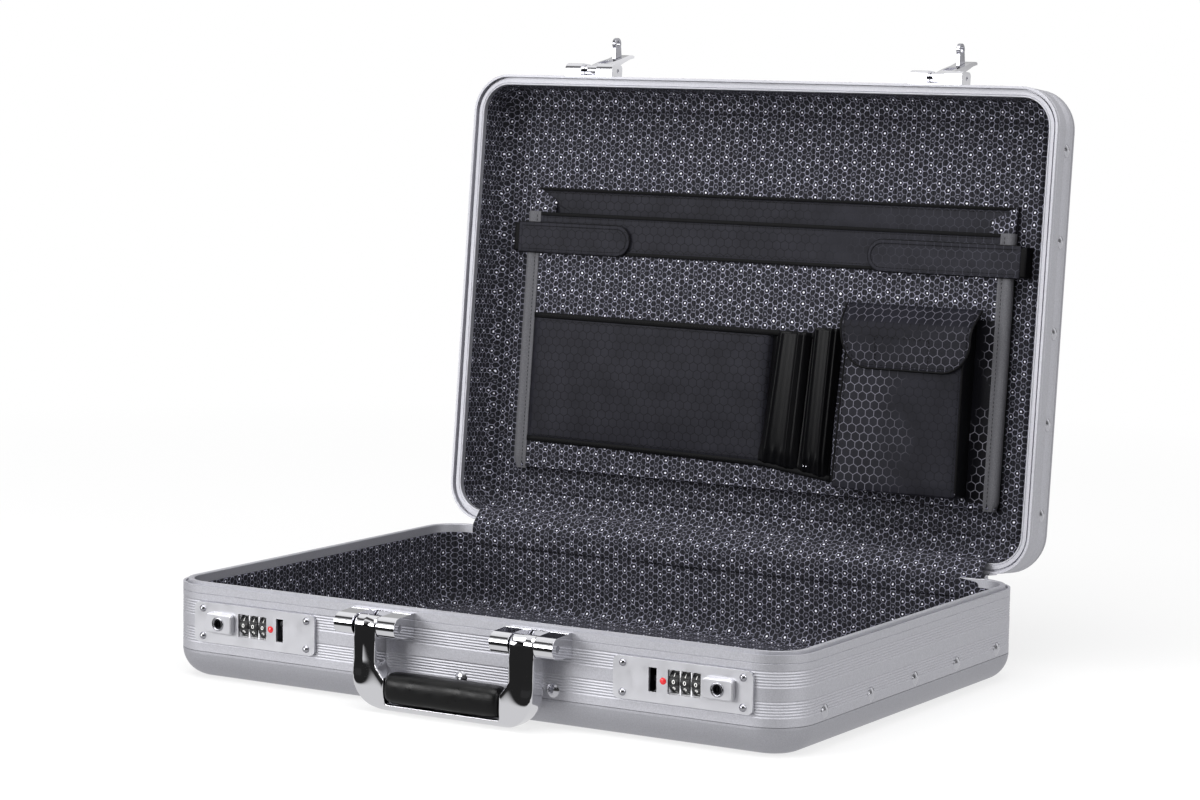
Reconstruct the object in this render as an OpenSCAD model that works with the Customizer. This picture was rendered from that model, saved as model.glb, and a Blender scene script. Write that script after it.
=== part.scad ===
// Laptop hard case: an aluminium attache case with a lined base and lid, a swinging
// handle, two combination locks and an organiser in the lid. Millimetres, +Z up.
// The origin lies on the table, under the middle of the base; -Y is the handle side.
// The lid is drawn closed and then turned back about its hinge to where it stands open.

/* [Case] */
// Width of the case over its walls
case_w = 450; // [420:1:520]
// Depth of the case from front to back
case_d = 318; // [280:1:380]
// Height of the base from the table to its rim
base_h = 60; // [58:1:80]
// Height of the lid behind its rim
lid_h = 38; // [36:1:55]
// Corner radius of the case seen from above
corner_r = 27; // [24:1:40]
// Radius of the rolled edge under the base
base_roll = 18; // [12:1:19]
// Radius of the rolled edge round the lid
lid_roll = 12; // [8:1:14]
// How far the lid stands open from closed, in degrees
open_angle = 95.5; // [85:0.5:105]

/* [Walls] */
// Wall thickness of the extruded side frames
wall_t = 2; // [1.5:0.1:3]
// Sheet thickness of the pressed trays
sheet_t = 1.5; // [1:0.1:2]
// Width of the thick head along each rim
head_w = 7; // [6:0.5:9]
// Height of the thick head along each rim
head_h = 4; // [3:0.5:6]
// Width of the outer lip of a rim
lip_w = 1.6; // [1.2:0.1:2]
// Width of the groove beside the outer lip
groove_w = 1.6; // [1.2:0.1:2]
// Depth of the groove below the outer lip
groove_depth = 1.4; // [1:0.1:2]
// Height of the base's inner flange above its outer lip
flange_rise = 1.6; // [1:0.1:2]
// Gap that stays between the two rims when the case is closed
rim_gap = 0.3; // [0.3:0.1:0.6]
// Depth of the fine grooves in the ribbed bands
rib_depth = 0.35; // [0.2:0.05:0.5]
// Number of ribs in each band of the base
rib_count = 6; // [3:1:9]
// Height of the lower ribbed band's bottom edge
low_band_z = 23.4; // [22:0.1:26]
// Height of the upper ribbed band's bottom edge
high_band_z = 41; // [38:0.1:43]
// Width of each ribbed band of the base
band_h = 10.2; // [6:0.1:11]
// Width of the ribbed band round the lid
lid_band_h = 7; // [4:0.5:8]

/* [Rivets] */
// Diameter of a wall rivet's domed head
rivet_head_d = 8.5; // [6:0.5:9]
// Height of a wall rivet's domed head
rivet_head_h = 1.5; // [1:0.1:2]
// Diameter of a wall rivet's shank
rivet_shank_d = 4; // [3:0.5:5]
// Spacing of the rivets along the sides
side_rivet_pitch = 59.5; // [50:0.5:65]
// Spacing of the rivets along the front and back, as a share of the case's width
long_rivet_share = 0.1444; // [0.13:0.001:0.15]
// Height of the base's row of rivets
base_rivet_z = 23.5; // [22:0.1:25]
// Depth of the lid's row of rivets behind its rim
lid_rivet_n = 17.4; // [15:0.1:20]

/* [Lining] */
// Thickness of the padded lining over each tray's floor
lining_floor_t = 3; // [2:0.5:5]
// Inside corner radius of the lining
lining_r = 11; // [6:1:14]
// Length of the fabric strip that covers the hinge inside
cover_len = 394; // [300:1:400]
// Thickness of that fabric strip
cover_t = 1.2; // [0.8:0.1:1.5]

/* [Hinge] */
// Length of the piano hinge
hinge_len = 394; // [300:1:400]
// Distance of the hinge pin behind the rear wall
hinge_back = 3.5; // [3.4:0.1:5]
// Outer radius of a hinge knuckle
knuckle_r = 3; // [2.5:0.1:3.1]
// Number of knuckles, an odd number
knuckle_count = 13; // [7:2:17]
// Gap between neighbouring knuckles
knuckle_gap = 0.4; // [0.3:0.1:0.6]
// Radius of the hinge pin
hinge_pin_r = 1.2; // [1:0.1:1.4]
// Width of a hinge leaf below its knuckles
leaf_h = 16; // [12:1:18]
// Thickness of a hinge leaf
leaf_t = 1.2; // [0.8:0.1:1.5]

/* [Handle] */
// Distance between the middles of the two handle brackets
handle_span = 112; // [100:1:130]
// Height of the handle's swing axis
handle_z = 52; // [50:0.5:52]
// Distance of the swing axis in front of the wall
handle_out = 16; // [15.5:0.5:19]
// Distance from the swing axis down to the handle's lowest edge
handle_drop = 51; // [46:0.5:51]
// Width of one bracket
bracket_w = 44; // [42:1:48]
// Height of a bracket where it meets the wall
bracket_h = 15; // [14.5:0.1:15.5]
// Radius of the round front of a bracket's ear
ear_r = 6.5; // [6:0.1:7]
// Width of a handle arm
arm_w = 17; // [14:0.5:18]
// Side gap between an arm and each ear
arm_gap = 0.5; // [0.3:0.1:0.8]
// Front to back thickness of the arms
arm_t = 14; // [12:0.5:15]
// Radius of the handle's outer corners
handle_corner_r = 24; // [18:1:26]
// Height of the metal bar under the grip
bar_h = 5; // [4:0.5:7]
// Half the length of the grip
grip_half = 41; // [36:1:42]
// Front to back thickness of the grip
grip_t = 18; // [15:0.5:18]
// Height of the grip
grip_h = 20; // [16:0.5:20]
// Radius of a handle pin
handle_pin_r = 2; // [1.5:0.1:2.5]

/* [Locks] */
// Distance of a lock's middle from the end of the case
lock_end = 71.3; // [65:0.1:75]
// Height of a lock's middle
lock_z = 37.6; // [37.2:0.1:38]
// Length of the lock plate
plate_w = 93; // [92:0.5:96]
// Height of the lock plate
plate_h = 25.5; // [25:0.5:26]
// Thickness of the lock plate
plate_t = 2; // [1.5:0.1:2.5]
// Corner radius of the lock plate
plate_r = 4; // [3:0.5:6]
// Radius of a number wheel
dial_r = 6.8; // [6:0.1:6.9]
// Width of a number wheel
dial_w = 6; // [5:0.1:6.1]
// Spacing of the number wheels
dial_pitch = 7.4; // [7.2:0.1:7.6]
// Depth of the wheels' axis behind the wall's face
dial_in = 5.2; // [5.1:0.1:5.5]
// Radius of the wheels' shaft
shaft_r = 1.5; // [1:0.1:2]
// Length of the sliding button
button_w = 20; // [16:0.5:20]
// Height of the sliding button
button_h = 12.2; // [10:0.1:12.3]
// How far the button stands out from the plate
button_t = 4; // [3:0.5:5]
// Outward travel of the button
button_travel = 4; // [3.8:0.1:4.2]
// Radius of the key plug
key_r = 2.9; // [2:0.1:3.2]
// Width of the slot that takes the hasp's hook
slot_w = 5.3; // [4.6:0.1:6]
// Height of the slot that takes the hasp's hook
slot_h = 14.4; // [14:0.1:15]

/* [Hasps] */
// Width of a hasp's bracket
hasp_w = 38; // [34:1:42]
// Length of a hasp's bracket along the lid's wall
hasp_len = 15; // [14:0.5:16]
// Distance from the lid's rim to the bracket
hasp_n = 3; // [2.8:0.1:3.2]
// Height of the lever's axis above the lid's wall
lever_out = 5; // [4.8:0.1:5.2]
// Distance of the lever's axis from the bracket's rim end
lever_up = 9; // [8.8:0.1:9.2]
// Width of the lever
lever_w = 12; // [10:0.5:13]
// Length of the lever from its axis to its tip
lever_len = 46; // [42:0.5:47]
// Radius of the lever's barrel
barrel_r = 3.7; // [3.4:0.1:3.8]
// How far the lever stands open from closed, in degrees
lever_open = 159; // [150:1:160]
// Thickness of the steel hook
hook_t = 2.6; // [2:0.1:3]
// Radius of a hasp's pin
hasp_pin_r = 1.4; // [1:0.1:1.8]

/* [Organiser] */
// Distance from each side of the organiser panel to the end of the case
panel_side = 37; // [32:1:45]
// Height of the panel's bottom edge above the lid's rear wall
panel_low = 40; // [30:1:50]
// Height of the front panel's top edge
panel_top = 222; // [215:1:230]
// Height of the back panel's top edge
back_top = 240; // [236:1:250]
// Thickness of the front panel
panel_t = 2.9; // [2:0.1:3.5]
// Width of the stitched strip along each side
binding_w = 9; // [6:0.5:12]
// Width of the black band along the front panel's top
band_w = 27; // [20:1:32]
// Width of a closure strap
strap_w = 21.5; // [16:0.5:24]
// Length of the left closure strap
left_strap_len = 92; // [60:1:110]
// Length of the right closure strap
right_strap_len = 112; // [60:1:120]
// Height of the long pocket
pocket_h = 90; // [60:1:100]
// Width of the phone pouch
pouch_w = 95; // [70:1:100]
// Height of the phone pouch
pouch_h = 124; // [90:1:130]
// How far the phone pouch stands out from the panel
pouch_t = 19; // [12:0.5:20]
// Height of the front of the pouch's flap
flap_h = 43; // [30:1:60]
// Thickness of leather-look parts
hide_t = 1.4; // [1:0.1:2]

/* [Hidden] */
round_fn = 64;
small_fn = 32;
eps = 0.01;
seat = 0.1;             // clearance between pieces that are fixed face to face
turn_gap = 0.05;        // radial clearance of every turning fit

front_y = -case_d / 2;
rear_y = case_d / 2;
long_rivet_pitch = round(2 * case_w * long_rivet_share) / 2;
rim_seam = 0.3;         // shadow line between a frame and its tray
flange_len = 9;         // how far a tray's flange reaches up inside the frame
flange_in = wall_t + sheet_t;
lining_out = flange_in + 0.2;
tray_floor_w = case_w - 2 * base_roll;
recess_n = rim_gap + flange_rise + 0.3;
lining_reach = head_w + lining_r;
band_low_z = base_h - head_h - 0.2;
cavity_w = case_w - 2 * head_w;

hinge_y = rear_y + hinge_back;
knuckle_pitch = hinge_len / knuckle_count;
leaf_top = base_h - knuckle_r - 0.3;

bracket_slot = arm_w + 2 * arm_gap;
ear_w = (bracket_w - bracket_slot) / 2;
handle_half = (handle_span + arm_w) / 2;
arm_inner = (handle_span - arm_w) / 2;
barrel_top_r = ear_r - 0.1;
handle_screw_x = bracket_slot / 2 + ear_w / 2;
handle_screw_r = 1.5;

lock_x = case_w / 2 - lock_end;
lock_out_x = 40;        // rivets of a lock plate, from its middle
lock_out_z = 8.75;
slot_x = -19.7;         // places along a lock plate, from its middle outwards
dot_x = -12.7;
dial_x = 1.4;
button_x = 25.3;
slot_dz = 0.6;          // the slot's middle above the plate's
dot_r = 2.1;
lock_rivet_r = 2.4;
lock_rivet_h = 1.8;
lock_shank_r = 1.3;
housing_in = 13.5;      // depth of the lock housing behind the wall's face
housing_low = -10.3;
housing_h = 22;
housing_x0 = -38.7;
housing_x1 = 37.3;
opening_x0 = -35.7;     // opening in the wall behind a lock plate
opening_x1 = 36.3;
opening_z0 = -9.1;
opening_h = 19.6;
wheel_gap = 0.3;
stem_w = 8;
shaft_half = 12.8;
catch_arm_x = slot_x + 1.9;
catch_arm_w = 2;
catch_y = 3.4;
catch_t = 3;
catch_bar_h = 2;
catch_bar_z = -9;

hasp_x = lock_x + slot_x;
hook_v = 10.2;          // the hook's eye, towards the wall and down from the axis
hook_u = hasp_n + lever_up + base_h - (lock_z + slot_dz);
eye_r = 2.3;
hook_tip_r = 4.2;
nose_z = slot_dz;
nose_y = hook_v - lever_out;

panel_half = case_w / 2 - panel_side;
lining_n = lid_h - sheet_t - lining_floor_t;
back_n = lining_n - 0.2 - hide_t;
paper_gap = 3;
front_n = back_n - paper_gap - panel_t;
band_n = front_n - seat - 0.8;
strap_n = band_n - 2.2;
pocket_gap = 4.4;
pocket_low = 60;
pouch_margin = 22;      // from the pouch to the panel's side
pouch_x = panel_half - pouch_margin - pouch_w;
pouch_low = 46;
pouch_top = pouch_low + pouch_h;
pouch_n = front_n - pouch_t;
sleeve_w = 23;
sleeve_out = 9;
sleeve_gap = 1;
sleeve_x = pouch_x - 10 - 2 * sleeve_w - sleeve_gap;
flap_hinge_s = pouch_top + 3.2;

// Shared shapes

// A wall section carried round a rounded rectangle. The section's first coordinate
// is measured from the outer face, inwards negative, and its second is the height.
module around(w, d, r) {
    for (sx = [0, 1], sy = [0, 1]) mirror([sx, 0, 0]) mirror([0, sy, 0])
        translate([w / 2 - r, d / 2 - r, 0])
            rotate_extrude(angle = 90, $fn = round_fn) translate([r, 0]) children();
    for (turn = [0, 180]) rotate([0, 0, turn]) translate([w / 2, 0, 0])
        rotate([90, 0, 0]) linear_extrude(d - 2 * r, center = true) children();
    for (turn = [90, 270]) rotate([0, 0, turn]) translate([d / 2, 0, 0])
        rotate([90, 0, 0]) linear_extrude(w - 2 * r, center = true) children();
}

// A flat slab with rounded corners, standing on z = 0
module slab(w, d, r, h) {
    translate([-w / 2, -d / 2 + r, 0]) cube([w, d - 2 * r, h]);
    translate([-w / 2 + r, -d / 2, 0]) cube([w - 2 * r, d, h]);
    for (sx = [-1, 1], sy = [-1, 1])
        translate([sx * (w / 2 - r), sy * (d / 2 - r), 0]) cylinder(h = h, r = r, $fn = round_fn);
}

// Outline of a rounded rectangle about its middle
module rounded(w, h, r) {
    square([w, h - 2 * r], center = true);
    square([w - 2 * r, h], center = true);
    for (sx = [-1, 1], sy = [-1, 1])
        translate([sx * (w / 2 - r), sy * (h / 2 - r)]) circle(r, $fn = small_fn);
}

// A side view (y, z) made a bar of width w across x
module across(w) {
    rotate([90, 0, 90]) linear_extrude(w, center = true) children();
}

// A front view (x, z) given the thickness t towards the case, starting at y
module facing(y, t) {
    translate([0, y + t, 0]) rotate([90, 0, 0]) linear_extrude(t) children();
}

// A domed rivet: its head stands on the plane y = 0 and its shank goes in along +Y
module rivet(head_r, head_h, shank_r, shank_l) {
    ball_r = (head_r * head_r + head_h * head_h) / (2 * head_h);
    rotate([90, 0, 0]) {
        intersection() {
            translate([0, 0, head_h - ball_r]) sphere(ball_r, $fn = round_fn);
            cylinder(h = head_h, r = head_r, $fn = small_fn);
        }
        translate([0, 0, -shank_l]) cylinder(h = shank_l, r = shank_r, $fn = small_fn);
    }
}

// Moves a piece drawn on the closed lid to where the lid stands open
module open_lid() {
    translate([0, hinge_y, base_h]) rotate([-open_angle, 0, 0])
        translate([0, -hinge_y, -base_h]) children();
}

// Places a piece drawn with +Y into the wall at each rivet of the base or the lid
module at_side_rivets(z) {
    for (sx = [0, 1], row = [-2 : 2]) mirror([sx, 0, 0])
        translate([case_w / 2, row * side_rivet_pitch, z]) rotate([0, 0, 90]) children();
}
module at_rear_rivets(z) {
    for (row = [-2 : 2])
        translate([row * long_rivet_pitch, rear_y, z]) rotate([0, 0, 180]) children();
}
module at_front_rivets(z) {
    for (row = [-1 : 1]) translate([row * long_rivet_pitch, front_y, z]) children();
}

// Zigzag of a ribbed band: count grooves between two heights on the outer face
function ribs(z0, h, count) = [for (i = [0 : count - 1])
    each [[0, z0 + h * i / count], [-rib_depth, z0 + h * (i + 0.5) / count]]];

// Shells

// Extruded side frame of the base: ribbed wall, thick rim head, groove and flange
module base_frame_section() {
    groove_in = lip_w + groove_w;
    polygon(concat(
        [[-wall_t, base_roll + rim_seam], [0, base_roll + rim_seam]],
        ribs(low_band_z, band_h, rib_count), [[0, low_band_z + band_h]],
        ribs(high_band_z, band_h, rib_count), [[0, high_band_z + band_h]],
        [[0, base_h - 5.2], [-rib_depth, base_h - 4.9], [0, base_h - 4.6]],
        [[0, base_h], [-lip_w, base_h], [-lip_w, base_h - groove_depth],
         [-groove_in, base_h - groove_depth], [-groove_in, base_h + flange_rise],
         [-head_w + 1.5, base_h + flange_rise], [-head_w + 1.2, base_h + flange_rise - 0.3],
         [-head_w + 0.9, base_h + flange_rise], [-head_w + 0.3, base_h + flange_rise],
         [-head_w, base_h + flange_rise - 0.3],
         [-head_w, base_h - head_h], [-wall_t, base_h - head_h]]));
}

// Extruded side frame of the lid, whose recess takes the base's flange
module lid_frame_section() {
    top_n = lid_h - lid_roll - rim_seam;
    low_n = lid_rivet_n - lid_band_h / 2;
    groove_in = lip_w + groove_w;
    translate([0, base_h]) polygon(concat(
        [[0, rim_gap], [0, 3.6], [-rib_depth, 3.9], [0, 4.2]],
        ribs(low_n, lid_band_h, rib_count - 2), [[0, low_n + lid_band_h]],
        [[0, top_n], [-wall_t, top_n], [-wall_t, recess_n + head_h],
         [-head_w, recess_n + head_h], [-head_w, recess_n + 0.3], [-head_w + 0.3, recess_n],
         [-head_w + 0.9, recess_n], [-head_w + 1.2, recess_n + 0.3],
         [-head_w + 1.5, recess_n], [-groove_in, recess_n],
         [-groove_in, recess_n + groove_depth], [-lip_w, recess_n + groove_depth],
         [-lip_w, rim_gap]]));
}

// Rolled edge of a pressed tray, with its step and the flange inside the frame
module tray_section(roll) {
    intersection() {
        difference() {
            translate([-roll, roll]) circle(roll, $fn = round_fn);
            translate([-roll, roll]) circle(roll - sheet_t, $fn = round_fn);
        }
        translate([-roll, 0]) square(roll);
    }
    translate([-flange_in, roll - sheet_t]) square([flange_in, sheet_t]);
    translate([-flange_in, roll - sheet_t]) square([sheet_t, sheet_t + flange_len]);
}
module tray(roll) {
    around(case_w, case_d, corner_r) tray_section(roll);
    slab(case_w - 2 * roll, case_d - 2 * roll, corner_r - roll, sheet_t);
}

// Padded lining: walls, a rounded inside corner and the floor
module lining_section(roll, top) {
    floor_z = sheet_t + lining_floor_t;
    inner_r = roll - sheet_t - 0.2;
    difference() {
        intersection() {
            translate([-lining_reach, sheet_t])
                square([lining_reach - lining_out, top - sheet_t]);
            union() {
                translate([-roll, roll]) circle(inner_r, $fn = round_fn);
                translate([-lining_reach, roll]) square([lining_reach, top]);
                translate([-lining_reach - eps, 0]) square([lining_reach - roll + eps, top]);
            }
        }
        translate([-lining_reach, floor_z + lining_r]) circle(lining_r, $fn = round_fn);
        translate([-lining_reach - 1, floor_z + lining_r]) square([lining_r + 1, top]);
    }
}
module lining(roll, top) {
    around(case_w, case_d, corner_r) lining_section(roll, top);
    translate([0, 0, sheet_t])
        slab(case_w - 2 * lining_reach, case_d - 2 * lining_reach,
             corner_r - lining_reach, lining_floor_t);
}

module base_frame() {
    color("#c4c4cc") difference() {
        around(case_w, case_d, corner_r) base_frame_section();
        at_side_rivets(base_rivet_z) rivet_hole();
        at_rear_rivets(base_rivet_z) rivet_hole();
        at_front_rivets(base_rivet_z) rivet_hole();
        for (side = [-1, 1]) {
            at_lock(side) facing(-1, wall_t + 2)
                translate([opening_x0, opening_z0])
                    square([opening_x1 - opening_x0, opening_h]);
            at_lock(side) at_plate_rivets() rivet_bore(lock_shank_r, wall_t);
            at_bracket(side) at_bracket_screws() rivet_bore(handle_screw_r, wall_t);
        }
    }
}
module rivet_bore(r, depth) {
    rotate([-90, 0, 0]) translate([0, 0, -1])
        cylinder(h = depth + 1 + eps, r = r + turn_gap, $fn = small_fn);
}
module rivet_hole() {
    rivet_bore(rivet_shank_d / 2, flange_in);
}
module wall_rivet() {
    rivet(rivet_head_d / 2, rivet_head_h, rivet_shank_d / 2, flange_in);
}

module base_tray() {
    color("#c0c0c8") difference() {
        tray(base_roll);
        at_side_rivets(base_rivet_z) rivet_hole();
        at_rear_rivets(base_rivet_z) rivet_hole();
        at_front_rivets(base_rivet_z) rivet_hole();
    }
}

// The base's lining has a padded box over each lock
module base_lining() {
    box_w = housing_x1 - housing_x0 + 12;
    box_x = (housing_x0 + housing_x1) / 2;
    box_in = housing_in + 3;
    box_z0 = sheet_t + lining_floor_t / 2;
    color("#2b2b31") difference() {
        union() {
            lining(base_roll, band_low_z);
            for (side = [-1, 1]) at_lock(side) translate([box_x, 0, -lock_z])
                across(box_w) polygon([[lining_out + 1, base_roll - 6.5],
                    [base_roll - 5.5, box_z0], [box_in, box_z0], [box_in, band_low_z],
                    [lining_out + 1, band_low_z]]);
        }
        for (side = [-1, 1]) at_lock(side)
            translate([housing_x0 - 3, lining_out - 1, housing_low - 0.5])
                cube([housing_x1 - housing_x0 + 6, housing_in - lining_out + 1.3,
                      housing_h + 1]);
    }
}

module base_rivets() {
    color("#d8d8de") {
        at_side_rivets(base_rivet_z) wall_rivet();
        at_rear_rivets(base_rivet_z) wall_rivet();
        at_front_rivets(base_rivet_z) wall_rivet();
    }
}

module lid_frame() {
    color("#c4c4cc") open_lid() difference() {
        around(case_w, case_d, corner_r) lid_frame_section();
        at_lid_rivets() rivet_hole();
        for (side = [-1, 1]) at_hasp(side) at_hasp_rivets() rivet_bore(hasp_shank_r, wall_t);
    }
}
module at_lid_rivets() {
    at_side_rivets(base_h + lid_rivet_n) children();
    for (row = [-1 : 1])
        translate([row * long_rivet_pitch, front_y, base_h + lid_rivet_n]) children();
}
module lid_tray() {
    color("#c0c0c8") open_lid() difference() {
        translate([0, 0, base_h + lid_h]) mirror([0, 0, 1]) tray(lid_roll);
        at_lid_rivets() rivet_hole();
    }
}
module lid_lining() {
    color("#2b2b31") open_lid() translate([0, 0, base_h + lid_h]) mirror([0, 0, 1])
        lining(lid_roll, lid_h - recess_n - head_h - 0.2);
}
module lid_rivets() {
    color("#d8d8de") open_lid() at_lid_rivets() wall_rivet();
}

// Hinge

// One leaf: a plate below the knuckles and every second knuckle, bored for the pin
module hinge_leaf(first) {
    difference() {
        union() {
            translate([-hinge_len / 2, rear_y, base_h - leaf_h])
                cube([hinge_len, leaf_t, leaf_h + leaf_top - base_h]);
            for (i = [first : 2 : knuckle_count - 1])
                translate([-hinge_len / 2 + i * knuckle_pitch + knuckle_gap / 2, 0, 0]) {
                    length = knuckle_pitch - knuckle_gap;
                    translate([0, rear_y, leaf_top - eps])
                        cube([length, leaf_t, base_h - leaf_top + eps]);
                    translate([0, hinge_y, base_h]) rotate([0, 90, 0])
                        cylinder(h = length, r = knuckle_r, $fn = small_fn);
                }
        }
        translate([-hinge_len, hinge_y, base_h]) rotate([0, 90, 0])
            cylinder(h = 2 * hinge_len, r = hinge_pin_r + turn_gap, $fn = small_fn);
    }
}
module base_hinge_leaf() {
    color("#b8b8c0") hinge_leaf(0);
}
module lid_hinge_leaf() {
    color("#b8b8c0") open_lid()
        translate([0, 0, base_h]) mirror([0, 0, 1]) translate([0, 0, -base_h]) hinge_leaf(1);
}
module hinge_pin() {
    color("#9a9aa0") translate([-hinge_len / 2, hinge_y, base_h]) rotate([0, 90, 0])
        cylinder(h = hinge_len, r = hinge_pin_r, $fn = small_fn);
}

// Fabric strip inside, from the base's rear lining over both rims into the lid
cover_foot = 14;
module hinge_cover() {
    foot_y = rear_y - head_w - 0.3;
    foot_z = base_h + flange_rise + 0.4;
    lean = tan(open_angle - 90);
    bend_y = rear_y + 2;
    bend_z = base_h + (head_w + hinge_back) * sin(open_angle) + 0.4
        + (hinge_back - 1) * lean;
    reach = recess_n + 10;
    color("#2b2b31") across(cover_len) polygon([
        [foot_y, base_h - cover_foot], [foot_y, foot_z], [bend_y, bend_z],
        [bend_y + reach, bend_z - reach * lean],
        [bend_y + reach, bend_z - reach * lean + cover_t], [bend_y - 0.6, bend_z + cover_t],
        [foot_y - cover_t, foot_z + 0.6], [foot_y - cover_t, base_h - cover_foot]]);
}

// Handle

// Places a piece at a bracket's middle on the wall, or at both with the screws' places
module at_bracket(side) {
    translate([side * handle_span / 2, front_y, handle_z]) children();
}
module at_bracket_screws() {
    for (sx = [-1, 1]) translate([sx * handle_screw_x, 0, 0]) children();
}

// A clevis: two ears with round fronts on a back plate
module handle_bracket(side) {
    color("#d9d9de") at_bracket(side) difference() {
        union() {
            for (sx = [-1, 1]) translate([sx * (bracket_slot + ear_w) / 2, 0, 0]) across(ear_w) {
                polygon([[0, bracket_h / 2], [0, -bracket_h / 2],
                         [-handle_out, -ear_r], [-handle_out, ear_r]]);
                translate([-handle_out, 0]) circle(ear_r, $fn = round_fn);
            }
            translate([-bracket_w / 2, -4, -bracket_h / 2]) cube([bracket_w, 4, bracket_h]);
        }
        translate([-bracket_w, -handle_out, 0]) rotate([0, 90, 0])
            cylinder(h = 2 * bracket_w, r = handle_pin_r + turn_gap, $fn = small_fn);
        at_bracket_screws() translate([0, -5, 0]) rivet_bore(handle_screw_r, 6);
    }
}
module left_handle_bracket() {
    handle_bracket(-1);
}
module right_handle_bracket() {
    handle_bracket(1);
}

// The cast frame: a front outline met with a side outline, and bored for the pins
module handle_frame() {
    low = -handle_drop;
    notch_top = low + bar_h + grip_h + 3;
    color("#dcdce0") translate([0, front_y - handle_out, handle_z]) difference() {
        intersection() {
            facing(-arm_t / 2, arm_t) difference() {
                union() {
                    translate([-handle_half, low + handle_corner_r])
                        square([2 * handle_half, handle_drop - handle_corner_r + barrel_top_r]);
                    translate([-handle_half + handle_corner_r, low])
                        square([2 * (handle_half - handle_corner_r), handle_corner_r]);
                    for (sx = [-1, 1])
                        translate([sx * (handle_half - handle_corner_r), low + handle_corner_r])
                            circle(handle_corner_r, $fn = round_fn);
                }
                polygon([[-arm_inner, notch_top], [-grip_half, low + bar_h + grip_h - 5],
                         [-grip_half, low + bar_h], [grip_half, low + bar_h],
                         [grip_half, low + bar_h + grip_h - 5], [arm_inner, notch_top],
                         [arm_inner, handle_drop], [-arm_inner, handle_drop]]);
            }
            across(2 * handle_half + 2) {
                circle(barrel_top_r, $fn = round_fn);
                polygon([[-barrel_top_r, 0], [-arm_t / 2, -10], [-arm_t / 2, low + 6],
                         [arm_t / 2, low + 6], [arm_t / 2, -10], [barrel_top_r, 0]]);
                for (sy = [-1, 1]) translate([sy * (arm_t / 2 - 6), low + 6])
                    circle(6, $fn = small_fn);
                translate([-arm_t / 2 + 6, low]) square([arm_t - 12, 6]);
            }
        }
        translate([-case_w / 2, 0, 0]) rotate([0, 90, 0])
            cylinder(h = case_w, r = handle_pin_r + turn_gap, $fn = small_fn);
    }
}
module handle_grip() {
    low = -handle_drop + bar_h;
    r = grip_t / 2;
    color("#1c1c1e") translate([0, front_y - handle_out, handle_z])
        across(2 * grip_half - 2 * seat) {
            translate([0, low + grip_h - r]) circle(r, $fn = round_fn);
            translate([-r, low + 3]) square([grip_t, grip_h - r - 3]);
            for (sy = [-1, 1]) translate([sy * (r - 3), low + 3 + seat]) circle(3, $fn = small_fn);
            translate([-r + 3, low + seat]) square([grip_t - 6, 4]);
        }
}
module handle_pins() {
    color("#a8a8ae") for (side = [-1, 1]) at_bracket(side)
        translate([-bracket_w / 2, -handle_out, 0]) rotate([0, 90, 0])
            cylinder(h = bracket_w, r = handle_pin_r, $fn = small_fn);
}
module handle_screws() {
    color("#a8a8ae") for (side = [-1, 1]) at_bracket(side) at_bracket_screws()
        rotate([90, 0, 0]) translate([0, 0, -wall_t]) {
            translate([0, 0, -1.4]) cylinder(h = 1.4, r = 3, $fn = small_fn);
            cylinder(h = wall_t + 4.5, r = handle_screw_r, $fn = small_fn);
        }
}

// Locks, drawn for the right side: x outwards from the plate's middle, y into the wall

module at_lock(side) {
    mirror([side < 0 ? 1 : 0, 0, 0]) translate([lock_x, front_y, lock_z]) children();
}
module at_plate_rivets() {
    for (sx = [-1, 1], sz = [-1, 1])
        translate([sx * lock_out_x, 0, sz * lock_out_z]) children();
}
module lock_plate() {
    window_w = 2 * dial_pitch + dial_w + 1;
    window_h = 2 * dial_r + 0.8;
    color("#d4d4da") facing(-plate_t, plate_t) difference() {
        rounded(plate_w, plate_h, plate_r);
        for (sx = [-1, 1], sz = [-1, 1]) translate([sx * lock_out_x, sz * lock_out_z])
            circle(lock_shank_r + turn_gap, $fn = small_fn);
        translate([slot_x, slot_dz]) square([slot_w, slot_h], center = true);
        translate([dot_x, slot_dz]) circle(dot_r + turn_gap, $fn = small_fn);
        translate([dial_x, slot_dz]) square([window_w, window_h], center = true);
        translate([button_x - stem_w / 2 - 0.3, slot_dz - 4.3])
            square([stem_w + button_travel + 0.6, 8.6]);
    }
}

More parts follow.
